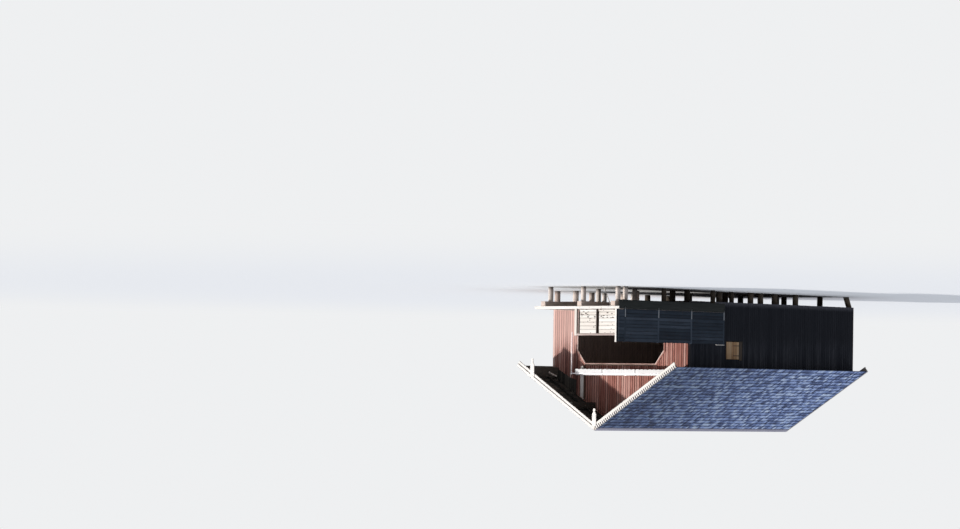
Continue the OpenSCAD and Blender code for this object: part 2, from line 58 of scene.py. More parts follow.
# The house's own frame starts at height 0, under the middle of the entrance gable's face
MIDDLE = Vector(((gable_low.x + gable_high.x) / 2, gable_low.y, 0.0))
HALF = (gable_high.x - gable_low.x) / 2
WALL = gable_high.y - gable_low.y
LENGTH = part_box("back_wall")[1].y - MIDDLE.y
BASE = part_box("left_wall")[0].z
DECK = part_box("deck_floor")[1].z
RIDGE = roof_high.z
EAVE = roof_high.x - MIDDLE.x
ROOF_FRONT = roof_low.y - MIDDLE.y
ROOF_BACK = roof_high.y - MIDDLE.y
ROOF_T = 0.11
SLOPE_L = EAVE / COS
HEAD = gable_low.z
TRIM_W = 0.09
BEAD_W = 0.04
JAMB_LEFT = trim_low.x + TRIM_W - MIDDLE.x
JAMB_RIGHT = trim_high.x - TRIM_W - MIDDLE.x
CORNER_W = 0.42
CORNER_H = 0.52

# Boards: width and thickness, depth and width of their joints, and the eased and the soiled strip beside one
BOARD = 0.118
BOARD_T = 0.025
LIP = 0.014
SEAM = 0.005
TIGHT_SEAM = 0.002
EASE = 0.004
SOILED = 0.014
# Share of its width by which a board's edge strays, and how far its face and its foot do
STRAY = 0.1
SUNK = 0.0035
UNEVEN = 0.006

dice = random.Random(7)


def span(node):
    """Lowest and highest corner of a CAD node in the house's own frame."""
    low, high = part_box(node)
    return low - MIDDLE, high - MIDDLE


def below_roof(x, depth):
    """Height of the plane at a depth square below the roof boarding's top."""
    return RIDGE - SLOPE * abs(x) - depth / COS


def under_roof(depth):
    """The upper end of boards that reach a plane below the roof."""
    return lambda u, n: below_roof(u, depth)


def wander(a, b, c):
    """A smooth noise between -1 and 1."""
    return noise.noise(Vector((a, b, c)))


def box_of(places):
    """Lowest and highest corner of some places."""
    return [Vector([pick(place[k] for place in places) for k in range(3)]) for pick in (min, max)]


# Planes and prisms

class Face:
    """A plane for boards, with the directions across and along them and out of it."""

    def __init__(self, origin, across, along, out):
        self.origin, self.across, self.along, self.out = map(Vector, (origin, across, along, out))

    def point(self, u, w, n):
        """A place by its distances in the three directions."""
        return self.origin + self.across * u + self.along * w + self.out * n


def face_at(axis, place, out, level=False):
    """The plane across the x or y axis at a place, for upright boards or for level ones."""
    normal, along = Vector((1, 0, 0)), Vector((0, 1, 0))
    if axis == "y":
        normal, along = along, normal
    up = Vector((0, 0, 1))
    across, run = (up, along) if level else (along, up)
    return Face(normal * place, across, run, normal * out)


class Shape:
    """Prisms gathered into one mesh, in the house's own frame, each with a tone."""

    def __init__(self):
        self.points = []
        self.faces = []
        self.tones = []
        self.soil_and_shade_values = []

    def rings(self, rings, tone, soil_and_shade=None):
        """A closed solid through rings of as many points, with the soiling at each point of a ring, which on
        shingles and verge teeth also carries painted shade.
        """
        count = len(rings[0])
        start = len(self.points)
        for ring in rings:
            self.points += ring
            self.soil_and_shade_values += soil_and_shade or [0.0] * count
        last = len(self.points) - count
        for a in range(start, last, count):
            for i in range(count):
                j = (i + 1) % count
                self.faces.append((a + i, a + j, a + count + j, a + count + i))
        self.faces += [tuple(reversed(range(start, start + count))), tuple(range(last, last + count))]
        self.tones += [tone] * (last - start + 2)

    def plank(self, face, u0, u1, w0, w1, back, front, tone, gap=0.0, lip=None):
        """A board with eased, soiled front edges; an end is a length or a function of (u, n)."""
        left = u0 + gap
        right = u1 - gap
        if lip is None:
            outline = [(left, back), (right, back)]
        else:
            outline = [(left, lip), (u0, lip), (u0, back), (u1, back), (u1, lip), (right, lip)]
        soil_and_shade = [1.0] * len(outline) + [1.0, 0.8, 0.0, 0.0, 0.8, 1.0]
        outline += [(right, front - EASE), (right - EASE, front), (right - EASE - SOILED, front),
                    (left + EASE + SOILED, front), (left + EASE, front), (left, front - EASE)]
        ends = [[face.point(u, w(u, n) if callable(w) else w, n) for u, n in outline] for w in (w0, w1)]
        self.rings(ends, tone, soil_and_shade)

    def bar(self, low, high, tone, ease=0.005):
        """An upright or level timber between two corners, with its long edges eased."""
        low = Vector(low)
        high = Vector(high)
        size = high - low
        along = max(range(3), key=lambda k: size[k])
        a, b = [k for k in range(3) if k != along]
        corners = [(low[a] + ease, low[b]), (high[a] - ease, low[b]), (high[a], low[b] + ease),
                   (high[a], high[b] - ease), (high[a] - ease, high[b]), (low[a] + ease, high[b]),
                   (low[a], high[b] - ease), (low[a], low[b] + ease)]
        ends = []
        for end in (low, high):
            ring = [end.copy() for _ in corners]
            for point, (p, q) in zip(ring, corners):
                point[a] = p
                point[b] = q
            ends.append(ring)
        self.rings(ends, tone)

    def rod(self, foot, head, radius, tone, sides=16, taper=1.0):
        """A round bar between two points."""
        foot = Vector(foot)
        head = Vector(head)
        turn = (head - foot).to_track_quat("Z", "Y")
        ends = []
        angles = [2 * math.pi * i / sides for i in range(sides)]
        for centre, r in ((foot, radius), (head, radius * taper)):
            ends.append([centre + turn @ Vector((r * math.cos(t), r * math.sin(t), 0.0)) for t in angles])
        self.rings(ends, tone)

    def piece(self, name, material, slot, replaced=(), smooth=None):
        """Makes the mesh, and puts it on the body in place of the CAD nodes it stands for."""
        mesh = bpy.data.meshes.new(name)
        mesh.from_pydata([MIDDLE + point for point in self.points], [], self.faces)
        mesh.attributes.new("tone", "FLOAT", "FACE").data.foreach_set("value", self.tones)
        mesh.attributes.new("soil_and_shade", "FLOAT", "POINT").data.foreach_set("value", self.soil_and_shade_values)
        work = bmesh.new()
        work.from_mesh(mesh)
        bmesh.ops.recalc_face_normals(work, faces=work.faces)
        work.to_mesh(mesh)
        work.free()
        placed(name, mesh, material, replaced, smooth)


# Pieces and CAD solids

def linked(name, data):
    """A new object in the scene."""
    made = bpy.data.objects.new(name, data)
    bpy.context.scene.collection.objects.link(made)
    return made


def placed(name, mesh, material, replaced=(), smooth=None):
    """An object for a mesh, riding on the body, with its finish and the nodes it replaces."""
    piece = linked(name, mesh)
    mesh.materials.append(material)
    if smooth is not None:
        for polygon in mesh.polygons:
            polygon.use_smooth = True
        mesh.set_sharp_from_angle(angle=math.radians(smooth))
    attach(piece, BODY)
    if replaced:
        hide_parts(*replaced)
    return piece


def cad_mesh(node):
    """A CAD node's mesh with its faces joined up, ready to be worked on."""
    work = bmesh.new()
    work.from_mesh(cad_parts[node].data)
    bmesh.ops.remove_doubles(work, verts=work.verts, dist=1e-5)
    return work


def islands(work):
    """The separate solids of a mesh, each as a list of its vertices."""
    seen = set()
    found = []
    for seed in work.verts:
        if seed in seen:
            continue
        group = [seed]
        seen.add(seed)
        for vert in group:
            for edge in vert.link_edges:
                other = edge.other_vert(vert)
                if other not in seen:
                    seen.add(other)
                    group.append(other)
        found.append(group)
    return found


def solids_in(node):
    """Lowest and highest corner of each solid of a CAD node, in the house's own frame."""
    work = cad_mesh(node)
    boxes = [box_of([vert.co for vert in group]) for group in islands(work)]
    work.free()
    return [(low - MIDDLE, high - MIDDLE) for low, high in boxes]


def dressed(node, material, edge):
    """A copy of a CAD node's solids with worn, rounded edges and a tone for each solid."""
    work = cad_mesh(node)
    bmesh.ops.dissolve_limit(work, angle_limit=math.radians(1), verts=work.verts, edges=work.edges)
    layer = work.faces.layers.float.new("tone")
    for group in islands(work):
        tone = dice.random()
        for vert in group:
            for face in vert.link_faces:
                face[layer] = tone
    sharp = [e for e in work.edges if e.is_manifold and e.calc_face_angle() > math.radians(30)]
    bmesh.ops.bevel(work, geom=sharp, offset=edge, offset_type="OFFSET", segments=2, profile=0.6,
                    affect="EDGES", clamp_overlap=True)
    mesh = bpy.data.meshes.new(node + "_timber")
    work.to_mesh(mesh)
    work.free()
    placed(node + "_timber", mesh, material, [node], smooth=40)


# Colours

def srgb(*values):
    """A colour written as it looks, from 0 to 255."""
    parts = [v / 255 for v in values]
    return (*(p / 12.92 if p < 0.04 else ((p + 0.055) / 1.055) ** 2.4 for p in parts), 1.0)


def shades(*colours):
    """A palette from its darkest colour to its palest."""
    return [srgb(*colour) for colour in colours]


def darker(colour, share):
    """A colour brought down to a share of its light."""
    return (*(part * share for part in colour[:3]), 1.0)


RED = shades((106, 64, 56), (157, 101, 90), (184, 129, 118), (208, 163, 153))
# Pale boards right of the entrance; their palette is taken darker to paint the roof's shade on their upper
# part
BLEACHED = shades((84, 50, 45), (156, 104, 95), (200, 148, 138), (242, 206, 196))
# The long wall's palette is the red boards taken dark and blue: a painted shade for the wall that faces away
# from the key light
SIDE = shades((41, 44, 52), (52, 55, 63), (64, 67, 75), (88, 90, 98))
LINING = shades((138, 120, 114), (160, 141, 134), (176, 156, 149), (192, 172, 164))
SOFFIT = shades((38, 38, 37), (54, 53, 50), (69, 66, 62), (92, 87, 81))
BROWN = shades((50, 38, 33), (78, 62, 54), (98, 80, 70), (122, 102, 90))
CREAM = shades((206, 194, 184), (238, 230, 222), (249, 244, 238), (254, 251, 248))
# The teeth's palette ends in a dark blue-grey that paints the shade on each tooth's butt
TEETH = [srgb(112, 108, 118), *CREAM[1:]]
RAIL = shades((138, 122, 117), (186, 169, 163), (210, 196, 190), (234, 225, 220))
GREY = shades((102, 91, 85), (144, 130, 123), (176, 161, 152), (204, 189, 179))
EDGE = shades((20, 24, 24), (29, 33, 33), (38, 43, 42), (56, 60, 58))
# The screen's palette is dark with a blue tint that paints the sky-lit shade on the screen's side
SCREEN = shades((25, 31, 42), (38, 48, 60), (52, 62, 75), (74, 84, 98))
# LOG and DARK_LOG are one log colour as painted sun and painted shade: pale for the piles in the sun, dark
# for those in shade
LOG = shades((176, 150, 138), (218, 196, 184), (236, 220, 210), (247, 238, 231))
BEAM = [*LOG[:3], srgb(240, 228, 210)]
DARK_LOG = shades((44, 38, 32), (62, 54, 46), (80, 70, 60), (104, 92, 80))
# The shutter's browns are paler than the boards in shade would show: a painted reflection, for the bright
# window on the shaded long wall
SHUTTER = shades((144, 110, 82), (190, 150, 112), (212, 176, 138), (230, 202, 168))
CASING = shades((44, 39, 34), (60, 53, 47), (76, 67, 60), (96, 86, 78))
TRIM = shades((108, 78, 70), (172, 138, 128), (214, 186, 176), (240, 222, 214))
RIDGE_GREY = shades((88, 84, 98), (118, 114, 130), (146, 142, 158), (170, 168, 182))
CANVAS = shades((226, 226, 233), (249, 249, 249), (253, 252, 251))
# The shingles' palette is bluer than their own grey: it paints the sky's light on the roof
SHINGLE = shades((43, 55, 89), (101, 120, 166), (154, 176, 224), (218, 234, 255))
# Darkening on a shingle from its butt up to where the next course covers it: worn at the butt, then painted
# shade with damp up against the next course's butt
BUTT_WEAR_SHADE_AND_DAMP = [(0.7, 0.7, 0.7, 1.0), (1.0, 1.0, 1.0, 1.0), (1.0, 1.0, 1.0, 1.0), (0.34, 0.34, 0.38, 1.0)]
# Colour of the painted shade over the roof's front end
FRONT_SHADE = (0.22, 0.25, 0.29, 1.0)
KNOT = srgb(58, 40, 32)
LICHEN = srgb(128, 134, 126)
RUST = srgb(112, 66, 42)
CANVAS_STAIN = srgb(206, 206, 210)
CANVAS_SEAM = srgb(96, 88, 90)
# Colours low on a wall or a log: full up to the first height, gone at the second, and their strength
# This band darkens the entrance gable's boards below the deck: a painted shade under the deck
UNDER_DECK_SHADE = (0.46, 0.58, srgb(38, 32, 31), 0.95)
# This band lightens the pale boards right of the entrance below about 2 m: painted sunlight
PAINTED_SUN_LOW = (1.7, 2.9, srgb(240, 200, 190), 0.62)
SPLASH = (0.42, 0.6, srgb(150, 132, 126), 0.8)
SIDE_SPLASH = (0.42, 0.66, srgb(112, 112, 121), 0.7)
# The long wall's band darkens its boards below about 2 m, so the paler palette up high paints light where
# the eave shades them
SIDE_LOW = (1.7, 2.9, srgb(41, 43, 49), 0.85)
WET_LIGHT = (0.0, 0.2, srgb(36, 33, 28), 0.8)
WET_DARK = (0.0, 0.22, srgb(36, 33, 28), 0.8)


# Shader nodes

def add(tree, kind, inputs=None, **settings):
    """A node with its settings and its inputs, each a value or another node's output."""
    made = tree.nodes.new("ShaderNode" + kind)
    for name, value in settings.items():
        setattr(made, name, value)
    for name, value in (inputs or {}).items():
        if isinstance(value, bpy.types.NodeSocket):
            tree.links.new(value, made.inputs[name])
        else:
            made.inputs[name].default_value = value
    return made


def ramp(tree, factor, colours, places=None):
    """A colour ramp, through colours at even places from 0 to 1 where no others are given."""
    stops = list(zip(places or [i / (len(colours) - 1) for i in range(len(colours))], colours))
    made = add(tree, "ValToRGB", {"Fac": factor})
    elements = made.color_ramp.elements
    elements[0].position, elements[0].color = stops[0]
    elements[1].position, elements[1].color = stops[-1]
    for place, colour in stops[1:-1]:
        elements.new(place).color = colour
    return made.outputs["Color"]


def math_of(tree, operation, a, b):
    """Two values joined by an operation."""
    return add(tree, "Math", {0: a, 1: b}, operation=operation).outputs[0]


def spread(tree, value, low, high, to_low=0.0, to_high=1.0):
    """A value's range mapped smoothly to another."""
    return add(tree, "MapRange", {"Value": value, "From Min": low, "From Max": high, "To Min": to_low,
                                  "To Max": to_high}, interpolation_type="SMOOTHSTEP").outputs["Result"]


def blend(tree, factor, a, b, kind="MIX"):
    """Two colours mixed by a factor."""
    inputs = {0: factor, 6: a, 7: b}
    return add(tree, "Mix", inputs, data_type="RGBA", blend_type=kind).outputs[2]


def carried(tree, name):
    """A value that the mesh carries."""
    return add(tree, "Attribute", attribute_name=name).outputs["Fac"]


def noise_of(tree, where, scale, detail=2.0, rough=0.5):
    """A smooth noise from 0 to 1."""
    return add(tree, "TexNoise", {"Vector": where, "Scale": scale, "Detail": detail,
                                  "Roughness": rough}).outputs[0]


def shifted(tree, where, tone, step):
    """The place moved by a board's tone, so that no two boards show the same grain."""
    move = math_of(tree, "MULTIPLY", tone, step)
    return add(tree, "VectorMath", {0: where, 1: move}, operation="ADD").outputs[0]


def drawn_out(tree, where, lengths, tilt=0.0):
    """The place measured by its own length on each axis, which draws a pattern out."""
    return add(tree, "Mapping", {"Vector": where, "Rotation": (0.0, tilt, 0.0), "Scale": lengths},
               vector_type="TEXTURE").outputs[0]


def lengths_of(axis, along, across):
    """Lengths on the three axes of a pattern drawn out along one of them."""
    return tuple(along if name == axis else across for name in "xyz")


def weighted(tree, *pairs):
    """The sum of values, each times its share."""
    total = 0.0
    for socket, share in pairs:
        total = math_of(tree, "ADD", math_of(tree, "MULTIPLY", socket, share), total)
    return total


def new_material(name):
    """A material with its node tree, its shader and the place in the part's own frame."""
    material = bpy.data.materials.new(name)
    material.use_nodes = True
    tree = material.node_tree
    return material, tree, tree.nodes["Principled BSDF"], add(tree, "TexCoord").outputs["Object"]


def surface(tree, shader, colour, rough, height, relief, depth=0.004, gloss=0.5):
    """Brings a colour, a roughness, a relief and a gloss to a material's shader."""
    tree.links.new(colour, shader.inputs["Base Color"])
    tree.links.new(rough, shader.inputs["Roughness"])
    bump = add(tree, "Bump", {"Height": height, "Strength": relief, "Distance": depth})
    tree.links.new(bump.outputs["Normal"], shader.inputs["Normal"])
    shader.inputs["Specular IOR Level"].default_value = gloss


# Materials

# Front end of the roof, from which a painted shade darkens the shingles and fades back, and the awning's two
# seams, in the part's own frame
SHADY_END = MIDDLE.y + ROOF_FRONT
SHADY_L = 10.0
SEAMS = (MIDDLE.x - 1.17, MIDDLE.x + 0.58)


def banded(tree, colour, where, fibre, low, high, shade, strength):
    """A colour with another one low down, whose ragged upper end follows the grain."""
    reach = high - low
    level = add(tree, "SeparateXYZ", {0: where}).outputs["Z"]
    level = math_of(tree, "ADD", level, math_of(tree, "MULTIPLY", fibre, reach * 0.8))
    share = spread(tree, level, low + reach * 0.3, high + reach * 0.3, strength, 0.0)
    return blend(tree, share, colour, shade)


def wood(name, stops, grain="z", tilt=0.0, stain=0.4, knots=0.0, relief=0.6, bands=(), worn=None,
         soiled=0.6, toned=0.46, gloss=0.28, knot=0.2):
    """Weathered board: its own tone, grain, stains, worn places, soiled edges, knots and level bands; the
    mesh's darkening paints shade on the verge teeth, and some bands paint light or shade.
    """
    material, tree, shader, where = new_material(name)
    tone = carried(tree, "tone")
    moved = shifted(tree, where, tone, 37.0)
    stretched = drawn_out(tree, moved, lengths_of(grain, along=0.9, across=0.022), tilt)
    fibre = noise_of(tree, stretched, 1.3, 6.0, 0.62)
    fine = noise_of(tree, stretched, 5.5, 3.0, 0.6)
    patch = noise_of(tree, where, 1.1, 4.0, 0.6)
    total = weighted(tree, (tone, toned), (fibre, 0.88 - toned), (fine, 0.2), (patch, 0.34))
    colour = ramp(tree, spread(tree, total, 0.28, 1.06), stops)
    deep = darker(stops[0], 0.35)
    streak = noise_of(tree, stretched, 0.55, 3.0)
    colour = blend(tree, spread(tree, streak, 0.6, 0.74, 0.0, stain), colour, deep)
    if worn:
        light = noise_of(tree, stretched, 0.8, 5.0)
        colour = blend(tree, spread(tree, light, 0.56, 0.72, 0.0, 0.75), colour, worn)
    colour = blend(tree, math_of(tree, "MULTIPLY", carried(tree, "soil_and_shade"), soiled), colour, deep)
    if knots:
        even = drawn_out(tree, moved, lengths_of(grain, along=0.19, across=0.09), tilt)
        cells = add(tree, "TexVoronoi", {"Vector": even, "Scale": 1.0, "Randomness": 1.0})
        spot = spread(tree, cells.outputs["Distance"], 0.45 * knot, knot, knots, 0.0)
        colour = blend(tree, spot, colour, KNOT)
    for band in bands:
        colour = banded(tree, colour, where, fibre, *band)
    height = math_of(tree, "ADD", fibre, math_of(tree, "MULTIPLY", fine, 0.5))
    surface(tree, shader, colour, spread(tree, fibre, 0.3, 0.7, 0.92, 0.72), height, relief, gloss=gloss)
    return material


def shingle_wood():
    """Weathered shingles: blue-grey, made bluer to paint the sky's light, a tone for each, worn butts,
    painted shade and damp up to where the next course covers them, painted shade at the roof's front end, a
    little lichen.
    """
    material, tree, shader, where = new_material("shingles_weathered")
    tone = carried(tree, "tone")
    stretched = drawn_out(tree, shifted(tree, where, tone, 53.0), lengths=(0.28, 0.02, 0.28))
    fibre = noise_of(tree, stretched, 1.2, 5.0, 0.65)
    patch = noise_of(tree, where, 0.5, 5.0, 0.6)
    total = weighted(tree, (tone, 0.7), (fibre, 0.3), (patch, 0.22))
    colour = ramp(tree, spread(tree, total, 0.2, 1.0), SHINGLE, (0.0, 0.3, 0.62, 1.0))
    course = math_of(tree, "ADD", carried(tree, "soil_and_shade"), math_of(tree, "MULTIPLY", fibre, 0.3))
    course = math_of(tree, "SUBTRACT", course, math_of(tree, "MULTIPLY", tone, 0.4))
    colour = blend(tree, 1.0, colour, ramp(tree, course, BUTT_WEAR_SHADE_AND_DAMP, (0.0, 0.1, 0.48, 0.8)), "MULTIPLY")
    along = add(tree, "SeparateXYZ", {0: where}).outputs["Y"]
    front_shade = spread(tree, along, SHADY_END, SHADY_END + SHADY_L, 0.85, 0.0)
    colour = blend(tree, front_shade, colour, FRONT_SHADE, "MULTIPLY")
    lichen = noise_of(tree, where, 7.0, 6.0, 0.7)
    colour = blend(tree, spread(tree, lichen, 0.62, 0.72, 0.0, 0.35), colour, LICHEN)
    surface(tree, shader, colour, spread(tree, fibre, 0.3, 0.7, 0.9, 0.68), fibre, 0.7, gloss=0.35)
    return material


def cloth():
    """White awning cloth: a fine weave, faint stripes, two dark seams and a little rain staining."""
    material, tree, shader, where = new_material("awning_canvas")
    along = add(tree, "SeparateXYZ", {0: where}).outputs["X"]
    weave = noise_of(tree, where, 420.0)
    stripes = add(tree, "TexNoise", {"W": math_of(tree, "MULTIPLY", along, 9.0), "Detail": 3.0},
                  noise_dimensions="1D").outputs[0]
    colour = ramp(tree, spread(tree, stripes, 0.3, 0.7), CANVAS)
    stains = noise_of(tree, where, 3.2, 5.0)
    colour = blend(tree, spread(tree, stains, 0.6, 0.78, 0.0, 0.25), colour, CANVAS_STAIN)
    for seam in SEAMS:
        away = math_of(tree, "ABSOLUTE", math_of(tree, "SUBTRACT", along, seam), 0.0)
        colour = blend(tree, spread(tree, away, 0.012, 0.022, 0.75, 0.0), colour, CANVAS_SEAM)
    shader.inputs["Sheen Weight"].default_value = 0.15
    surface(tree, shader, colour, spread(tree, weave, 0.3, 0.7, 0.82, 0.95), weave, 0.25, 0.001, gloss=0.2)
    return material


def metal(name, colour, rust=0.3, rough=0.45, bare=0.0, worn=0.3):
    """Painted or bare steel with rust at its scratches."""
    material, tree, shader, where = new_material(name)
    spots = noise_of(tree, where, 18.0, 6.0, 0.7)
    wear = noise_of(tree, where, 60.0, 3.0)
    shade = blend(tree, spread(tree, wear, 0.35, 0.65, 0.0, worn), colour, darker(colour, 0.6))
    shade = blend(tree, spread(tree, spots, 0.6, 0.68, 0.0, rust), shade, RUST)
    shader.inputs["Metallic"].default_value = bare
    surface(tree, shader, shade, spread(tree, spots, 0.4, 0.7, rough, 0.85), spots, 0.6 * worn, 0.002)
    return material


gable_wood = wood("boards_faded_red", RED, stain=0.6, worn=srgb(222, 184, 172), soiled=0.85, toned=0.34,
                  bands=[UNDER_DECK_SHADE])
bleached_wood = wood("boards_bleached_red", BLEACHED, stain=0.65, worn=srgb(236, 206, 196), soiled=0.95,
                     toned=0.5, bands=[PAINTED_SUN_LOW, UNDER_DECK_SHADE])
# The long wall's boards carry a painted shade, dark and blue, in place of the red boards' own colour
side_wood_painted_shade = wood("boards_side_painted_shade", SIDE, stain=0.25, soiled=0.3, toned=0.3, bands=[SIDE_LOW, SIDE_SPLASH],
                 gloss=0.05)
plain_wood = wood("boards_plain_red", RED, stain=0.6, bands=[SPLASH])
inner_upright = wood("timber_inner_upright", BROWN)
inner_across = wood("timber_inner_across", BROWN, "x")
lining_wood = wood("boards_lining", LINING, stain=0.2, soiled=0.3, toned=0.2)
soffit_wood = wood("timber_soffit", SOFFIT, "y")
rafter_woods = {side: wood("timber_rafters_" + name, SOFFIT, "x", side * PITCH)
                for side, name in SIDES}
verge_woods = {side: wood("verge_cream_" + name, CREAM, "x", side * PITCH, stain=0.35)
               for side, name in SIDES}
teeth_wood = wood("verge_cream_teeth", TEETH, "x", -PITCH, stain=0.3, soiled=1.0)
cream_upright = wood("cream_upright", CREAM, stain=0.3)
cream_across = wood("cream_across", CREAM, "x", stain=0.35, knots=0.95, knot=0.36, toned=0.25, soiled=0.4)
cream_panel = wood("cream_panel", CREAM, "x", stain=0.35, knots=0.85, knot=0.25, toned=0.25, soiled=0.4)
cream_rail = wood("cream_rail", CREAM, "x", stain=0.3, knots=0.45, toned=0.25)
rail_wood = wood("rail_worn_cream", RAIL, "x", stain=0.5, knots=0.5)
post_cream = wood("posts_cream", CREAM, toned=0.25)
deck_wood = wood("deck_weathered", GREY, "x", knots=0.4)
beam_wood = wood("beam_pale", BEAM, "y", stain=0.45)
edge_wood = wood("beam_dark", EDGE, "y", stain=0.5)
screen_wood = wood("screen_dark", SCREEN, "y", stain=0.6, knots=0.6, gloss=0.2)
post_dark = wood("post_dark", SCREEN)
trim_wood = wood("trim_bare", TRIM, "x", stain=0.5, knots=0.9)
log_light = wood("log_sunlit", LOG, stain=0.6, relief=0.9, bands=[WET_LIGHT])
log_dark = wood("log_shaded", DARK_LOG, stain=0.6, relief=0.9, bands=[WET_DARK])
shutter_wood = wood("shutter_boards", SHUTTER, stain=0.85, worn=srgb(236, 212, 182))
casing_wood = wood("window_casing", CASING)
ridge_wood = wood("ridge_boards", RIDGE_GREY, "y", stain=0.3)
shingles = shingle_wood()
canvas = cloth()
steel = metal("awning_steel", srgb(248, 243, 246), rust=0.05, rough=0.3, bare=0.6, worn=0.1)
iron = metal("straps_galvanized", srgb(150, 154, 160))
hinge_iron = metal("hinges_dark", srgb(62, 54, 48), rust=0.5)


# Rows of boards

def strips(start, end, pitch):
    """Both edges of each board, all nearly equally wide, between two places."""
    count = max(1, round((end - start) / pitch))
    step = (end - start) / count
    edges = [start, *(start + (i + dice.uniform(-STRAY, STRAY)) * step for i in range(1, count)), end]
    return zip(edges, edges[1:])


def boards(shape, face, start, end, low, high, pitch=BOARD, tone=None, lip=-LIP, back=-BOARD_T, gap=SEAM):
    """Boards side by side between two places."""
    for u0, u1 in strips(start, end, pitch):
        shade = dice.random() if tone is None else tone((u0 + u1) / 2)
        shape.plank(face, u0, u1, low, high, back, dice.uniform(-SUNK, 0.0), shade, gap, lip)


def clad(name, material, slot, replaced, face, fields, **look):
    """A piece of fields of boards, each with its start, its end and its boards' two ends."""
    shape = Shape()
    for field in fields:
        boards(shape, face, *field, **look)
    shape.piece(name, material, slot, replaced)


def sawn_foot(u, n):
    """The lower end of wall boards, not all sawn to one line."""
    return BASE + UNEVEN * wander(u * 9.0, 0.0, BASE)


# Walls

LINING_T = 0.018
REVEAL_W = 0.05
# Two pale boards of the entrance gable; its last one on the right is pale too
PALE_LEFT = -3.38
PALE_RIGHT = 2.62
PALE_TONE = 1.25


def lined(node, face, fields):
    """Plain boards on a wall's inner face."""
    clad(node + "_lining", lining_wood, "frame_timber", (), face, fields, pitch=0.16, back=-LINING_T,
         lip=-LINING_T / 2, gap=TIGHT_SEAM)


def side_wall(side, name):
    """Outer boards of one long wall round its window, and the lining within."""
    node = name + "_wall"
    low, high = span("window_" + name)

    def top(u, n):
        return below_roof(HALF + n, BOARD_T)

    clad(node + "_boards", side_wood_painted_shade if side < 0 else plain_wood, "wall_boards", [node],
         face_at("x", side * HALF, side),
         [(BOARD_T, low.y, sawn_foot, top), (low.y, high.y, sawn_foot, low.z), (low.y, high.y, high.z, top),
          (high.y, LENGTH - BOARD_T, sawn_foot, top)])
    inner = HALF - WALL
    lined(node, face_at("x", side * inner, -side), [(WALL, LENGTH - WALL, BASE, below_roof(inner, ROOF_T))])


def gable_tone(x):
    """Tone of a front board, with the palest ones where they are."""
    shade = dice.random()
    pale = (abs(x - PALE_RIGHT) < BOARD * 0.6, x > HALF - BOARD, abs(x - PALE_LEFT) < BOARD * 0.5)
    return PALE_TONE if any(pale) else shade


def entrance_edge(out, foot):
    """Points along the entrance's edge, moved outwards, from the left jamb's foot to the right one's."""
    left = [(JAMB_LEFT - out, foot), (JAMB_LEFT - out, HEAD - CORNER_H + 0.4 * out),
            (JAMB_LEFT + CORNER_W - 0.5 * out, HEAD + out)]
    return left + [(JAMB_LEFT + JAMB_RIGHT - x, z) for x, z in reversed(left)]


def edge_boards(shape, near, far, foot, y0, y1, tones):
    """Boards along the entrance's edge, between two distances from it; a tone of None leaves one out."""
    inner = entrance_edge(near, foot)
    outer = entrance_edge(far, foot)
    for i, tone in enumerate(tones):
        if tone is None:
            continue
        rings = []
        for a, b in zip(outer[i:i + 2], inner[i:i + 2]):
            eased = (Vector(a) - Vector(b)).normalized() * EASE
            rings.append([Vector(place) for place in (
                (a[0], y1, a[1]), (a[0], y0 + EASE, a[1]), (a[0] - eased.x, y0, a[1] - eased.y),
                (b[0] + eased.x, y0, b[1] + eased.y), (b[0], y0 + EASE, b[1]), (b[0], y1, b[1]))])
        shape.rings(rings, tone)


def entrance_corner(u, n):
    """The lower end of boards over one of the entrance's sloped corners."""
    edge = min(u - JAMB_LEFT, JAMB_RIGHT - u)
    return HEAD - CORNER_H * max(0.0, 1.0 - edge / CORNER_W)


def front_fields(foot, top):
    """Start, end, lower and upper end of the five fields of boards round the entrance."""
    edges = (-HALF, JAMB_LEFT, JAMB_LEFT + CORNER_W, JAMB_RIGHT - CORNER_W, JAMB_RIGHT, HALF)
    feet = (foot, entrance_corner, HEAD, entrance_corner, foot)
    return [(start, end, low, top) for start, end, low in zip(edges, edges[1:], feet)]


def front_wall():
    """Boards of the entrance gable, the lining behind them and the boards in the entrance's depth."""
    face = face_at("y", 0.0, -1)
    *fields, right_field = front_fields(sawn_foot, under_roof(BOARD_T))
    clad("front_boards", gable_wood, "wall_boards", ["front_gable", "front_wall_left", "front_wall_right"],
         face, fields, tone=gable_tone)
    # The boards right of the entrance carry painted shade up high and painted sunlight low down
    clad("front_boards_right", bleached_wood, "wall_boards", ["front_gable", "front_wall_right"], face,
         [right_field], tone=gable_tone)
    lined("front_wall", face_at("y", WALL, 1), front_fields(BASE, under_roof(ROOF_T)))
    reveal = Shape()
    edge_boards(reveal, 0.0, REVEAL_W, BASE, BOARD_T, WALL - LINING_T, (0.4, 0.6, 0.5, 0.3, 0.5))
    reveal.piece("entrance_frame", inner_upright, "frame_timber")


def painted_shade_boards():
    """Dark boards on the right of the gable, up against the roof's underside, cut along a bent line: a
    painted shade where the roof's deep shadow falls.
    """
    left, bend, right = 2.28, 2.61, 3.4
    left_foot, bend_foot = 3.547, 3.451
    shallow, steep = 0.29, 0.493
    proud = 0.02

    def foot(u, n):
        if u < bend:
            return left_foot - (u - left) * shallow
        return bend_foot - (u - bend) * steep

    clad("gable_painted_shade_boards", soffit_wood, "wall_boards", (), face_at("y", -proud, -1),
         [(left, right, foot, under_roof(BOARD_T + 0.001))], back=-proud, lip=-proud / 2, gap=TIGHT_SEAM)


def back_wall():
    """Boards of the back gable, outside and in."""
    inner = HALF - WALL
    clad("back_boards", plain_wood, "wall_boards", ["back_wall"], face_at("y", LENGTH, 1),
         [(-HALF, HALF, sawn_foot, under_roof(BOARD_T))])
    lined("back_wall", face_at("y", LENGTH - WALL, -1), [(-inner, inner, BASE, under_roof(ROOF_T))])


# Roof

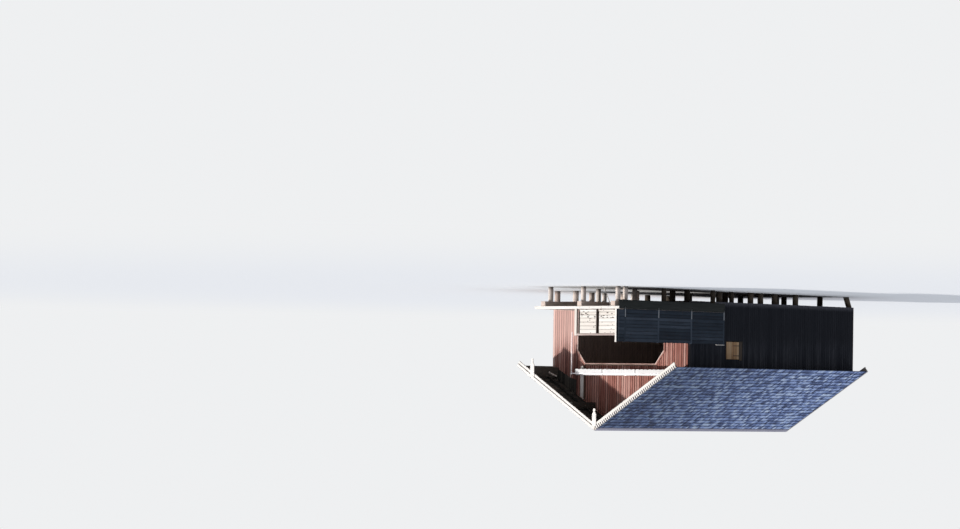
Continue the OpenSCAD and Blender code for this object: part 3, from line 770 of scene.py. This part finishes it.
RAFTER_W = 0.08
RAFTER_PITCH = 0.84
RAFTER_IN = 0.2
# Shingles: length that shows, whole length in such lengths, width, thickness at the butt and at the head
COURSE = 0.2265
OVERLAP = 1.3
SHINGLE_W = 0.12
BUTT_T = 0.0235
HEAD_T = 0.004
# Verge boards: upper edge, the line between the two and lower edge, square to the roof's slope
VERGE_TOP = 0.025
VERGE_SPLIT = -0.095
VERGE_LOW = -0.21
VERGE_T = 0.03
VERGE_UPPER_T = 0.058
# Small boards that cover the upper one: their step, and how far back, head and face stand out
TOOTH_STEP = 0.104
TOOTH_BACK = 0.033
TOOTH_HEAD = 0.036
TOOTH_FACE = 0.06
TOOTH_EASE = 0.006


def slope_face(side, level=False):
    """The plane of one roof half, from the ridge down, for boards down it or level ones."""
    down, ridge = (side * COS, 0, -SIN), (0, 1, 0)
    across, along = (down, ridge) if level else (ridge, down)
    return Face((0, 0, RIDGE), across, along, (side * SIN, 0, COS))


def from_ridge(out):
    """Distance down the slope of the ridge's upright plane, at a distance out of the slope."""
    return -out * SLOPE


def rafters(side, node):
    """Rafters of one roof half, from the ridge to near the eave."""
    shape = Shape()
    reach = ROOF_BACK - ROOF_FRONT - RAFTER_W
    count = round(reach / RAFTER_PITCH)
    for i in range(count + 1):
        y = ROOF_FRONT + i * reach / count
        shape.plank(slope_face(side), y, y + RAFTER_W, lambda u, n: from_ridge(n), SLOPE_L - RAFTER_IN,
                    -ROOF_T, -BOARD_T, dice.random())
    shape.piece(node + "_rafters", rafter_woods[side], "frame_timber", [node])


def roof_boarding(side, node):
    """Boards along the ridge, on which one roof half's shingles lie."""
    clad(node + "_boarding", soffit_wood, "frame_timber", [node], slope_face(side, level=True),
         [(0.02, SLOPE_L, ROOF_FRONT, ROOF_BACK)], pitch=0.17, lip=None, back=0.0, gap=0.001)


def covering(side, node):
    """Shingles of one roof half, in courses from the eave up, with ragged butts above the first."""
    face = slope_face(side)
    shape = Shape()
    soil_and_shade = [0.0, 0.0, OVERLAP, OVERLAP]
    for row in range(int((SLOPE_L - 0.08) / COURSE) + 1):
        butt = SLOPE_L - row * COURSE
        head = max(0.0, butt - OVERLAP * COURSE)
        whole_row = 0.5 + 0.5 * wander(row * 7.3, side * 5.0, 0.5)
        for y0, y1 in strips(ROOF_FRONT, ROOF_BACK, SHINGLE_W):
            stretch = 0.5 + 0.9 * wander(y0 * 3.2, row * 7.3, side * 5.0)
            shade = 0.1 * whole_row + 0.35 * stretch + 0.55 * dice.random()
            sway = 0.035 * wander(y0 * 2.2, row * 3.7, side * 2.0)
            ragged = butt + sway - dice.uniform(-0.02, 0.04) if row else butt
            top = BUTT_T - dice.uniform(0.0, 0.006)
            gap = dice.uniform(0.001, 0.004)
            corners = [(ragged, 0.0088 if row else 0.0), (ragged, top), (head, HEAD_T), (head, 0.0005)]
            ends = [[face.point(y, s, n) for s, n in corners] for y in (y0 + gap, y1 - gap)]
            shape.rings(ends, shade, soil_and_shade)
    shape.piece(node + "_shingles", shingles, "roof_shingles", [node])


def verge(side, place, name):
    """Two verge boards at one end of one roof half."""
    wall, out = (ROOF_FRONT, -1) if place == "front" else (ROOF_BACK, 1)
    face = Face((0, wall, RIDGE), (side * SIN, 0, COS), (side * COS, 0, -SIN), (0, out, 0))
    toothed = side < 0 and place == "front"
    upper_t = TOOTH_BACK - 0.001 if toothed else VERGE_UPPER_T
    shape = Shape()
    for low, high, thick in ((VERGE_SPLIT + 0.004, VERGE_TOP - 0.002, upper_t),
                             (VERGE_LOW, VERGE_SPLIT, VERGE_T)):
        shape.plank(face, low, high, lambda u, n: from_ridge(u), SLOPE_L, 0.0, thick, dice.random())
    replaced = ["verge_back"] if place == "back" else ["verge_front_" + name]
    shape.piece("verge_" + place + "_" + name + "_boards", verge_woods[side], "cream_boards", replaced)
    if toothed:
        verge_teeth(face, replaced)


def verge_teeth(face, replaced):
    """Small overlapping boards that cover the upper verge board on the left of the entrance."""
    teeth = Shape()
    for i in range(int(SLOPE_L / TOOTH_STEP)):
        butt = SLOPE_L - i * TOOTH_STEP - dice.uniform(0.0, 0.006)
        head = butt - 1.1 * TOOTH_STEP
        tooth = TOOTH_FACE - dice.uniform(0.0, 0.003)
        upper = VERGE_TOP - dice.uniform(0.0, 0.004)
        lower = VERGE_SPLIT - dice.uniform(-0.004, 0.004)
        head_low = max(head, from_ridge(lower))
        head_high = max(head, from_ridge(upper))
        if butt - head_low < TOOTH_STEP * 0.7:
            continue
        rings = []
        for u, top in ((lower, head_low), (upper, head_high)):
            outline = [(butt, TOOTH_BACK), (butt, tooth - TOOTH_EASE), (butt - EASE, tooth),
                       (top + 0.058, tooth - TOOTH_EASE / 2), (top + 0.054, tooth - TOOTH_EASE),
                       (top, TOOTH_HEAD), (top, TOOTH_BACK)]
            rings.append([face.point(u, w, n) for w, n in outline])
        # The darkening given at the points of each tooth paints the shade on its butt and below the next
        # tooth's butt
        teeth.rings(rings, dice.uniform(0.5, 1.0), [1.0, 0.6, 0.0, 0.0, 1.0, 1.0, 1.0])
    teeth.piece("verge_front_left_teeth", teeth_wood, "cream_boards", replaced)


# Floors

STRIP_T = 0.012


def floors():
    """Deck, inner floor and walkway, laid board by board, and the strip beside the deck."""
    top = Face((0, 0, DECK), (0, 1, 0), (1, 0, 0), (0, 0, 1))
    for node, name in (("deck_floor", "deck_planks"), ("inner_floor", "inner_floor_planks"),
                       ("walkway_floor", "walkway_planks")):
        low, high = span(node)
        shape = Shape()
        for y0, y1 in strips(low.y, high.y, pitch=0.142):
            start = low.x + STRIP_T
            if node == "inner_floor":
                start = max(low.x, WALL - HALF if y0 > WALL / 2 else JAMB_LEFT)
            end = high.x - dice.uniform(0.0, 0.012)
            shape.plank(top, y0, y1, start, end, low.z - DECK, dice.uniform(-0.003, 0.0), dice.random(),
                        gap=0.003)
        shape.piece(name, deck_wood, "floor_boards", [node])
    low, high = span("deck_edge_beam")
    strip = Shape()
    strip.bar((low.x, low.y, high.z), (low.x + STRIP_T - 0.001, high.y, DECK - 0.004), 0.3, 0.003)
    strip.piece("deck_side_strip", edge_wood, "beam_timber")


# Screen and parapet

PANEL_LIP = 0.016
STRAP_W = 0.048
STRAP_T = 0.004
STRAP_LOW = DECK - 0.09
STRAP_HIGH = DECK + 0.3
STRAP_BOLTS = (DECK - 0.05, DECK + 0.1, DECK + 0.25)
BOLT_R = 0.012
# Share of the parapet's height, from below, that shows more knots
KNOTTY = 0.36
# Parapet posts this near the foremost one's front have a cream board of this thickness
PANEL_IN = 0.02
FACING_T = 0.022


def screen_posts():
    """Dark posts of the side screen, with light straps bolted on at their feet."""
    posts = Shape()
    straps = Shape()
    for low, high in solids_in("screen_posts"):
        posts.bar((low.x + STRAP_T, low.y, low.z), high, dice.random(), 0.006)
        y = (low.y + high.y) / 2
        straps.bar((low.x, y - STRAP_W / 2, STRAP_LOW), (low.x + STRAP_T, y + STRAP_W / 2, STRAP_HIGH),
                   dice.random(), 0.001)
        for z in STRAP_BOLTS:
            straps.rod((low.x + STRAP_T, y, z), (low.x + 0.0002, y, z), BOLT_R, 0.2, 8)
    posts.piece("screen_post_timbers", post_dark, "screen_boards", ["screen_posts"])
    straps.piece("screen_straps", iron, "awning_metal")


def screen_boards():
    """Level boards of the side screen, with a board under each field and one beside the corner post."""
    shape = Shape()

    def field(low, high, y0, y1):
        boards(shape, face_at("x", low.x, -1, level=True), low.z, high.z, y0, y1, pitch=0.135,
               back=low.x - high.x, lip=-PANEL_LIP)

    for low, high in solids_in("screen_panels"):
        field(low, high, low.y, high.y)
        shape.bar((low.x + 0.006, low.y, DECK), (high.x - 0.004, high.y, low.z), 0.2, 0.002)
    low, high = span("screen_panels")
    corner = span("parapet_posts")[0]
    field(low, high, corner.y + 0.01, span("screen_posts")[0].y)
    shape.bar((corner.x - 0.018, corner.y + 0.004, DECK), (corner.x, corner.y + 0.098, high.z), 0.2, 0.003)
    shape.piece("screen_boards", screen_wood, "screen_boards", ["screen_panels"])


def screen_shelf():
    """A short cream board on top of the screen."""
    start, end = 0.68, 1.14
    width, thick = 0.05, 0.018
    low, high = span("screen_posts")
    shelf = Shape()
    shelf.bar((low.x, start, high.z), (low.x + width, end, high.z + thick), 0.9, 0.003)
    shelf.piece("screen_shelf", cream_rail, "cream_boards")


def parapet():
    """Cream parapet panels of level boards with dark knots, more of them low down."""
    upper = Shape()
    lower = Shape()
    for low, high in solids_in("parapet_panels"):
        face = face_at("y", low.y, -1, level=True)
        middle = low.z + (high.z - low.z) * KNOTTY
        for shape, z0, z1 in ((lower, low.z, middle), (upper, middle, high.z)):
            boards(shape, face, z0, z1, low.x, high.x, pitch=0.131, back=low.y - high.y, lip=-PANEL_LIP)
    upper.piece("parapet_upper_boards", cream_panel, "cream_boards", ["parapet_panels"])
    lower.piece("parapet_lower_boards", cream_across, "cream_boards", ["parapet_panels"])


def parapet_posts():
    """Dark posts, with a cream board on the front of the corner post and the end post; the dark timber
    paints the shade on the posts' sides and on the posts behind the panels.
    """
    front = Shape()
    behind = Shape()
    foremost = span("parapet_posts")[0].y
    for low, high in solids_in("parapet_posts"):
        tone = dice.random()
        if low.y > foremost + PANEL_IN:
            behind.bar(low, high, tone)
        else:
            front.bar(low, (high.x, low.y + FACING_T, high.z), tone)
            behind.bar((low.x, low.y + FACING_T, low.z), high, tone)
    front.piece("parapet_post_facings", post_cream, "cream_boards", ["parapet_posts"])
    behind.piece("parapet_post_timbers_painted_shade", inner_upright, "frame_timber", ["parapet_posts"])


# Entrance trim, hanging post and cleat

def trim():
    """Boards round the entrance, with a paler bead along its edge and a dark header board that paints the
    awning's shade.
    """
    thick = trim_high.y - trim_low.y
    for name, material, slot, near, far, tones in (
            ("entrance_trim_boards", gable_wood, "wall_boards", BEAD_W, TRIM_W, (0.3, 0.6, None, 0.8, 1.2)),
            # The dark header board paints the awning's shade over the entrance
            ("entrance_header_painted_shade", inner_across, "frame_timber", BEAD_W, TRIM_W, (None, None, 0.1, None, None)),
            ("entrance_trim_bead", trim_wood, "bare_boards", 0.0, BEAD_W, (0.0, 0.8, 0.4, 0.7, 0.9))):
        shape = Shape()
        edge_boards(shape, near, far, DECK, -thick, 0.0, tones)
        shape.piece(name, material, slot, ["entrance_trim"])


def hanging_post():
    """Brown post on the gable behind the awning, with a white board in front, both with a tapered foot."""
    low, high = span("hanging_post")
    facing_t = 0.012
    facing_in = 0.018
    side = (high.x - low.x) / 2
    x = (high.x + low.x) / 2
    for name, material, slot, inset, y0, y1 in (
            ("hanging_post_core", inner_upright, "frame_timber", 0.0, low.y + facing_t, high.y),
            ("hanging_post_front", cream_upright, "cream_boards", facing_in, low.y, low.y + facing_t)):
        shape = Shape()
        half = side - inset
        foot = low.z + inset
        rings = []
        for y, ease in ((y0, EASE), (y0 + EASE, 0.0), (y1, 0.0)):
            left = x - half + ease
            right = x + half - ease
            outline = ((left, foot + side), (left, below_roof(left, ROOF_T)),
                       (right, below_roof(right, ROOF_T)), (right, foot + side),
                       (x + 0.6 * half, foot + ease), (x - 0.6 * half, foot + ease))
            rings.append([Vector((u, y, z)) for u, z in outline])
        shape.rings(rings, 0.8)
        shape.piece(name, material, slot, ["hanging_post"])


def painted_light_streak():
    """A short light board that slopes on the inner side of the right eave purlin, before the gable: a
    painted streak of light under the eave.
    """
    purlin_x = HALF - WALL - 0.2
    head = Vector((purlin_x, -0.1, 3.41))
    foot = Vector((purlin_x, -0.56, 3.25))
    half_width = 0.035
    thick = 0.02
    along = (foot - head).normalized()
    face = Face(head, along.cross(Vector((1, 0, 0))), along, (-1, 0, 0))
    shape = Shape()
    shape.plank(face, -half_width, half_width, 0.0, (foot - head).length, 0.0, thick, 0.9)
    shape.piece("painted_light_streak", cream_rail, "cream_boards")


# Windows

CASING_W = 0.06
SILL_H = 0.03
SHUTTER_T = 0.02
HINGE_IN = 0.15
HINGE_W = 0.028
HINGE_FRONT = 0.023


def window(side, name):
    """Casing, sill, boarded shutter and strap hinges of one side window."""
    node = "window_" + name
    low, high = span(node)
    upright = face_at("x", side * HALF, side)
    level = face_at("x", side * HALF, side, level=True)
    proud = max(abs(low.x), abs(high.x)) - HALF
    back = LINING_T - WALL
    casing = Shape()
    for y0, y1 in ((low.y, low.y + CASING_W), (high.y - CASING_W, high.y)):
        casing.plank(upright, y0, y1, low.z, high.z, back, proud, 0.4)
    for z0, z1 in ((low.z, low.z + CASING_W), (high.z - CASING_W, high.z)):
        casing.plank(level, z0, z1, low.y + CASING_W, high.y - CASING_W, back, proud, 0.4)
    casing.plank(level, low.z - SILL_H, low.z, low.y - 0.02, high.y + 0.24, 0.0, proud, 0.3)
    casing.plank(upright, high.y + 0.004, high.y + 0.22, low.z, high.z + SILL_H, 0.0, SHUTTER_T, 0.5, SEAM)
    casing.piece(node + "_casing", casing_wood, "shutter_boards", [node])

    clad(node + "_shutter", shutter_wood, "shutter_boards", [node],
         face_at("x", side * (HALF + proud + SHUTTER_T), side),
         [(low.y - 0.015, high.y - 0.005, low.z + 0.004, high.z - 0.012)], pitch=0.114, back=-SHUTTER_T,
         lip=-SHUTTER_T / 2, gap=0.003)

    hinges = Shape()
    x = side * (HALF + proud + HINGE_FRONT)
    y = high.y - 0.015
    for z in (low.z + HINGE_IN, high.z - HINGE_IN):
        hinges.plank(level, z - HINGE_W / 2, z + HINGE_W / 2, high.y - 0.36, high.y - 0.02, proud + 0.019,
                     proud + HINGE_FRONT, 0.3)
        hinges.rod((x, y, z - 0.03), (x, y, z + 0.03), 0.009, 0.3, 10)
    hinges.piece(node + "_hinges", hinge_iron, "awning_metal")


# Piles

LOG_SIDES = 20
LOG_HEIGHTS = 8
CRACK = 0.007
# Piles whose x less y is above this stand in the sun
SUNNY = -1.2


def log(shape, foot, head, radius, seed):
    """A driven log: slightly uneven, split by two drying cracks."""
    crack = dice.randrange(LOG_SIDES)
    cracks = (crack, (crack + 11) % LOG_SIDES)
    rings = []
    for k in range(LOG_HEIGHTS + 1):
        t = k / LOG_HEIGHTS
        centre = foot.lerp(head, t)
        ring = []
        for i in range(LOG_SIDES):
            angle = 2 * math.pi * i / LOG_SIDES
            lump = wander(math.cos(angle) * 1.3, math.sin(angle) * 1.3, t * 2.0 + seed)
            r = radius * (0.965 + 0.035 * lump) - (CRACK if i in cracks else 0.0)
            ring.append(centre + Vector((r * math.cos(angle), r * math.sin(angle), 0.0)))
        rings.append(ring)
    shape.rings(rings, dice.random())


def piles(node):
    """Logs in place of one node's round piles: pale where the sun reaches them, as painted sun, and dark
    elsewhere, as painted shade.
    """
    work = cad_mesh(node)
    bleached_painted_sun = Shape()
    dark = Shape()
    for index, group in enumerate(islands(work)):
        places = [vert.co for vert in group]
        low, high = box_of(places)
        ends = []
        for level in (low.z, high.z):
            first, last = box_of([place for place in places if abs(place.z - level) < 1e-4])
            ends.append((first + last) / 2 - MIDDLE)
        foot, head = ends
        sunny = foot.x - foot.y > SUNNY
        log(bleached_painted_sun if sunny else dark, foot, head, (high.x - low.x) / 2, index * 3.1)
    work.free()
    for shape, name, material in ((bleached_painted_sun, "_logs_bleached", log_light), (dark, "_logs_dark", log_dark)):
        if shape.points:
            shape.piece(node + name, material, "piles", [node], smooth=45)


# Awning

SHAFT_R = 0.025
TURNS = 7
SCALLOP_W = 0.215
SCALLOP_H = 0.03
FRONT_BAR = 0.05
FRONT_BAR_PAST = 0.012


def cloth_piece(name, rows, node, thickness):
    """A cloth through rows of places, in place of a CAD node."""
    width = len(rows[0])
    faces = [(a, a + 1, a + width + 1, a + width)
             for k in range(len(rows) - 1) for a in range(k * width, (k + 1) * width - 1)]
    mesh = bpy.data.meshes.new(name)
    mesh.from_pydata([MIDDLE + Vector(place) for row in rows for place in row], [], faces)
    piece = placed(name, mesh, canvas, [node], smooth=60)
    solid = piece.modifiers.new("thickness", "SOLIDIFY")
    solid.thickness = thickness
    solid.offset = 0.0
    return piece


def awning_roll(left, right, axis_y, axis_z, radius):
    """Cloth wound on its shaft, a little uneven."""
    steps = TURNS * 28
    columns = 48
    outermost = radius - 0.0025
    rows = []
    for k in range(steps + 1):
        angle = math.pi + 2 * math.pi * TURNS * (k / steps - 1.0)
        r = SHAFT_R + (outermost - SHAFT_R) * k / steps
        row = []
        for i in range(columns + 1):
            x = left + (right - left) * i / columns
            uneven = r + 0.0012 * wander(x * 2.2, angle, 3.0) * k / steps
            row.append((x, axis_y + uneven * math.cos(angle), axis_z + uneven * math.sin(angle)))
        rows.append(row)
    roll = cloth_piece("awning_cloth_roll", rows, "awning_roller", thickness=0.0012)


def awning_valance(low, high):
    """Cloth that hangs from the front bar, gently waved, with a scalloped lower edge."""
    left, right = low.x, high.x
    per = 12
    columns = round((right - left) / SCALLOP_W) * per
    heights = 8
    plain = high.z - low.z - SCALLOP_H
    y = (low.y + high.y) / 2
    rows = []
    for k in range(heights + 1):
        t = k / heights
        row = []
        for i in range(columns + 1):
            x = left + (right - left) * i / columns
            edge = SCALLOP_H * math.sqrt(max(0.0, 1.0 - (2 * (i % per) / per - 1) ** 2))
            wave = 0.006 * t * math.sin(x * 7.0 + 1.5 * math.sin(x * 2.3)) + 0.004 * t * wander(x * 5, 1, 2)
            row.append((x, y + wave, high.z - t * (plain + edge)))
        rows.append(row)
    valance = cloth_piece("awning_valance_cloth", rows, "awning_valance", thickness=0.0016)


def awning_crank():
    """The crank's gear box, and its rod with a collar, a neck and a grip."""
    low, high = span("awning_crank")
    x = (low.x + high.x) / 2
    y = (low.y + high.y) / 2
    box = high.z - 0.091
    neck = box - 0.1
    grip = low.z + 0.16
    shape = Shape()
    shape.bar((low.x, low.y, box), high, 0.5, 0.01)
    for head, foot, radius, taper in ((box, box - 0.05, 0.02, 0.7), (box - 0.045, neck, 0.013, 1.4),
                                      (neck, grip, 0.017, 1.0), (grip, low.z, 0.0175, 0.8)):
        shape.rod((x, y, head), (x, y, foot), radius, 0.5, 14, taper)
    shape.piece("awning_crank_rod", steel, "awning_metal", ["awning_crank"], smooth=45)


def awning():
    """The rolled-up awning: cloth, valance, front bar, shaft and crank."""
    low, high = span("awning_valance")
    roller_low, roller_high = span("awning_roller")
    radius = (roller_high.z - roller_low.z) / 2
    axis_y = roller_high.y - radius
    axis_z = (roller_high.z + roller_low.z) / 2
    awning_roll(low.x, high.x, axis_y, axis_z, radius)
    awning_valance(low, high)
    front = roller_low.y
    bar = Shape()
    bar.bar((low.x - FRONT_BAR_PAST, front, axis_z - FRONT_BAR / 2),
            (high.x + FRONT_BAR_PAST, front + FRONT_BAR, axis_z + FRONT_BAR / 2), 0.5, 0.008)
    bar.piece("awning_front_bar", steel, "awning_metal", ["awning_roller"])
    shaft = Shape()
    shaft.rod((roller_low.x, axis_y, axis_z), (roller_high.x, axis_y, axis_z), SHAFT_R, 0.5, 20)
    shaft.piece("awning_shaft", steel, "awning_metal", ["awning_roller"], smooth=45)
    awning_crank()


# Timbers

def timbers():
    """The beams, frames, rails and fittings whose own CAD shape is right, with edges worn by a width."""
    for nodes, material, slot, edge in (
            (("deck_beam_left", "deck_beam_middle", "deck_beam_right"), beam_wood, "beam_timber", 0.008),
            (("deck_edge_beam",), edge_wood, "beam_timber", 0.008),
            (("sill_beams", "tie_frames"), inner_across, "frame_timber", 0.006),
            (("ridge_purlin", "middle_purlins", "eave_purlins"), soffit_wood, "frame_timber", 0.006),
            (("ridge_cap",), ridge_wood, "roof_shingles", 0.004),
            (("deck_fascia",), cream_rail, "cream_boards", 0.004),
            (("top_rail",), rail_wood, "cream_boards", 0.006),
            (("apex_pendant", "eave_pendant"), cream_upright, "cream_boards", 0.006),
            (("raking_rod",), cream_rail, "beam_timber", 0.002),
            (("awning_brackets",), steel, "awning_metal", 0.003)):
        for node in nodes:
            dressed(node, material, edge)


# Light, floor and camera

PALE = (0.86, 0.87, 0.88, 1.0)
WORLD_LIGHT = (0.26, 0.275, 0.31, 1.0)
FLOOR_LIGHT = (0.24, 0.235, 0.23, 1.0)


def seen_rays(tree):
    """1 for what is seen, mirrored or seen through the object, and 0 for the light that reaches it."""
    path = add(tree, "LightPath")
    seen = math_of(tree, "MAXIMUM", path.outputs["Is Camera Ray"], path.outputs["Is Glossy Ray"])
    return math_of(tree, "MAXIMUM", seen, path.outputs["Is Transmission Ray"])


def pale_world():
    """A world that looks pale and gives the object a dim, faintly blue light."""
    world = bpy.data.worlds.new("studio")
    bpy.context.scene.world = world
    world.use_nodes = True
    tree = world.node_tree
    shade = blend(tree, seen_rays(tree), WORLD_LIGHT, PALE)
    tree.links.new(shade, tree.nodes["Background"].inputs["Color"])


def pale_floor():
    """A wide floor just below the object, which looks pale, hardly tints it and fades into the world."""
    mesh = bpy.data.meshes.new("floor")
    work = bmesh.new()
    bmesh.ops.create_circle(work, cap_ends=True, segments=96, radius=2500.0)
    work.to_mesh(mesh)
    work.free()
    floor = linked("floor", mesh)
    floor.location.z = -0.003
    material, tree, shader, place = new_material("pale_floor")
    tree.nodes.remove(shader)
    seen = seen_rays(tree)
    shade = add(tree, "BsdfDiffuse", {"Color": blend(tree, seen, FLOOR_LIGHT, PALE)})
    far = add(tree, "Emission", {"Color": PALE, "Strength": 1.0})
    distance = add(tree, "VectorMath", {0: place}, operation="LENGTH").outputs["Value"]
    away = math_of(tree, "MULTIPLY", spread(tree, distance, 14.0, 60.0), seen)
    mixed = add(tree, "MixShader", {0: away, 1: shade.outputs[0], 2: far.outputs[0]})
    tree.links.new(mixed.outputs[0], tree.nodes["Material Output"].inputs["Surface"])
    mesh.materials.append(material)


def lamp(name, towards, strength, angle, colour):
    """A sun lamp that shines from a direction."""
    data = bpy.data.lights.new(name, "SUN")
    data.energy = strength
    data.angle = math.radians(angle)
    data.color = colour
    made = linked(name, data)
    made.rotation_mode = "QUATERNION"
    made.rotation_quaternion = Vector(towards).to_track_quat("Z", "Y")


def camera():
    """The photograph's own view, which stands on its head, from the left of the entrance."""
    yaw = 0.774110
    pitch = -0.0330341
    roll = 0.0156811
    place = Vector((-104.9223, -115.2495, 4.2074))
    ahead = Vector((math.sin(yaw) * math.cos(pitch), math.cos(yaw) * math.cos(pitch), math.sin(pitch)))
    right = Vector((math.cos(yaw), -math.sin(yaw), 0.0))
    up = right.cross(ahead)
    level = right * math.cos(roll) + up * math.sin(roll)
    upright = up * math.cos(roll) - right * math.sin(roll)
    turn = Matrix((-level, -upright, -ahead)).transposed()
    data = bpy.data.cameras.new("camera")
    data.lens = 148.168
    data.sensor_width = 36.0
    data.clip_start = 1.0
    data.clip_end = 4000.0
    made = linked("camera", data)
    made.matrix_world = Matrix.Translation(MIDDLE + place) @ turn.to_4x4()
    bpy.context.scene.camera = made


camera()
for side, name in SIDES:
    side_wall(side, name)
front_wall()
painted_shade_boards()
back_wall()
for side, name in SIDES:
    rafters(side, "roof_" + name)
    roof_boarding(side, "roof_" + name)
    covering(side, "roof_" + name)
    verge(side, "front", name)
    verge(side, "back", name)
    window(side, name)
floors()
screen_posts()
screen_boards()
screen_shelf()
parapet()
for node in ("house_piles_left", "house_piles_right", "inner_piles", "deck_piles"):
    piles(node)
trim()
hanging_post()
painted_light_streak()
awning()
timbers()
parapet_posts()
pale_world()
pale_floor()
lamp("key", (1.08, -1.36, 0.58), 3.3, 3.0, (1.0, 0.965, 0.92))
lamp("fill", (-0.5, -1.0, 0.2), 0.2, 60.0, (1.0, 1.0, 1.0))
lamp("sky", (-0.25, -0.1, 1.0), 1.15, 80.0, (0.9, 0.94, 1.0))
bpy.context.scene.view_settings.view_transform = "Standard"
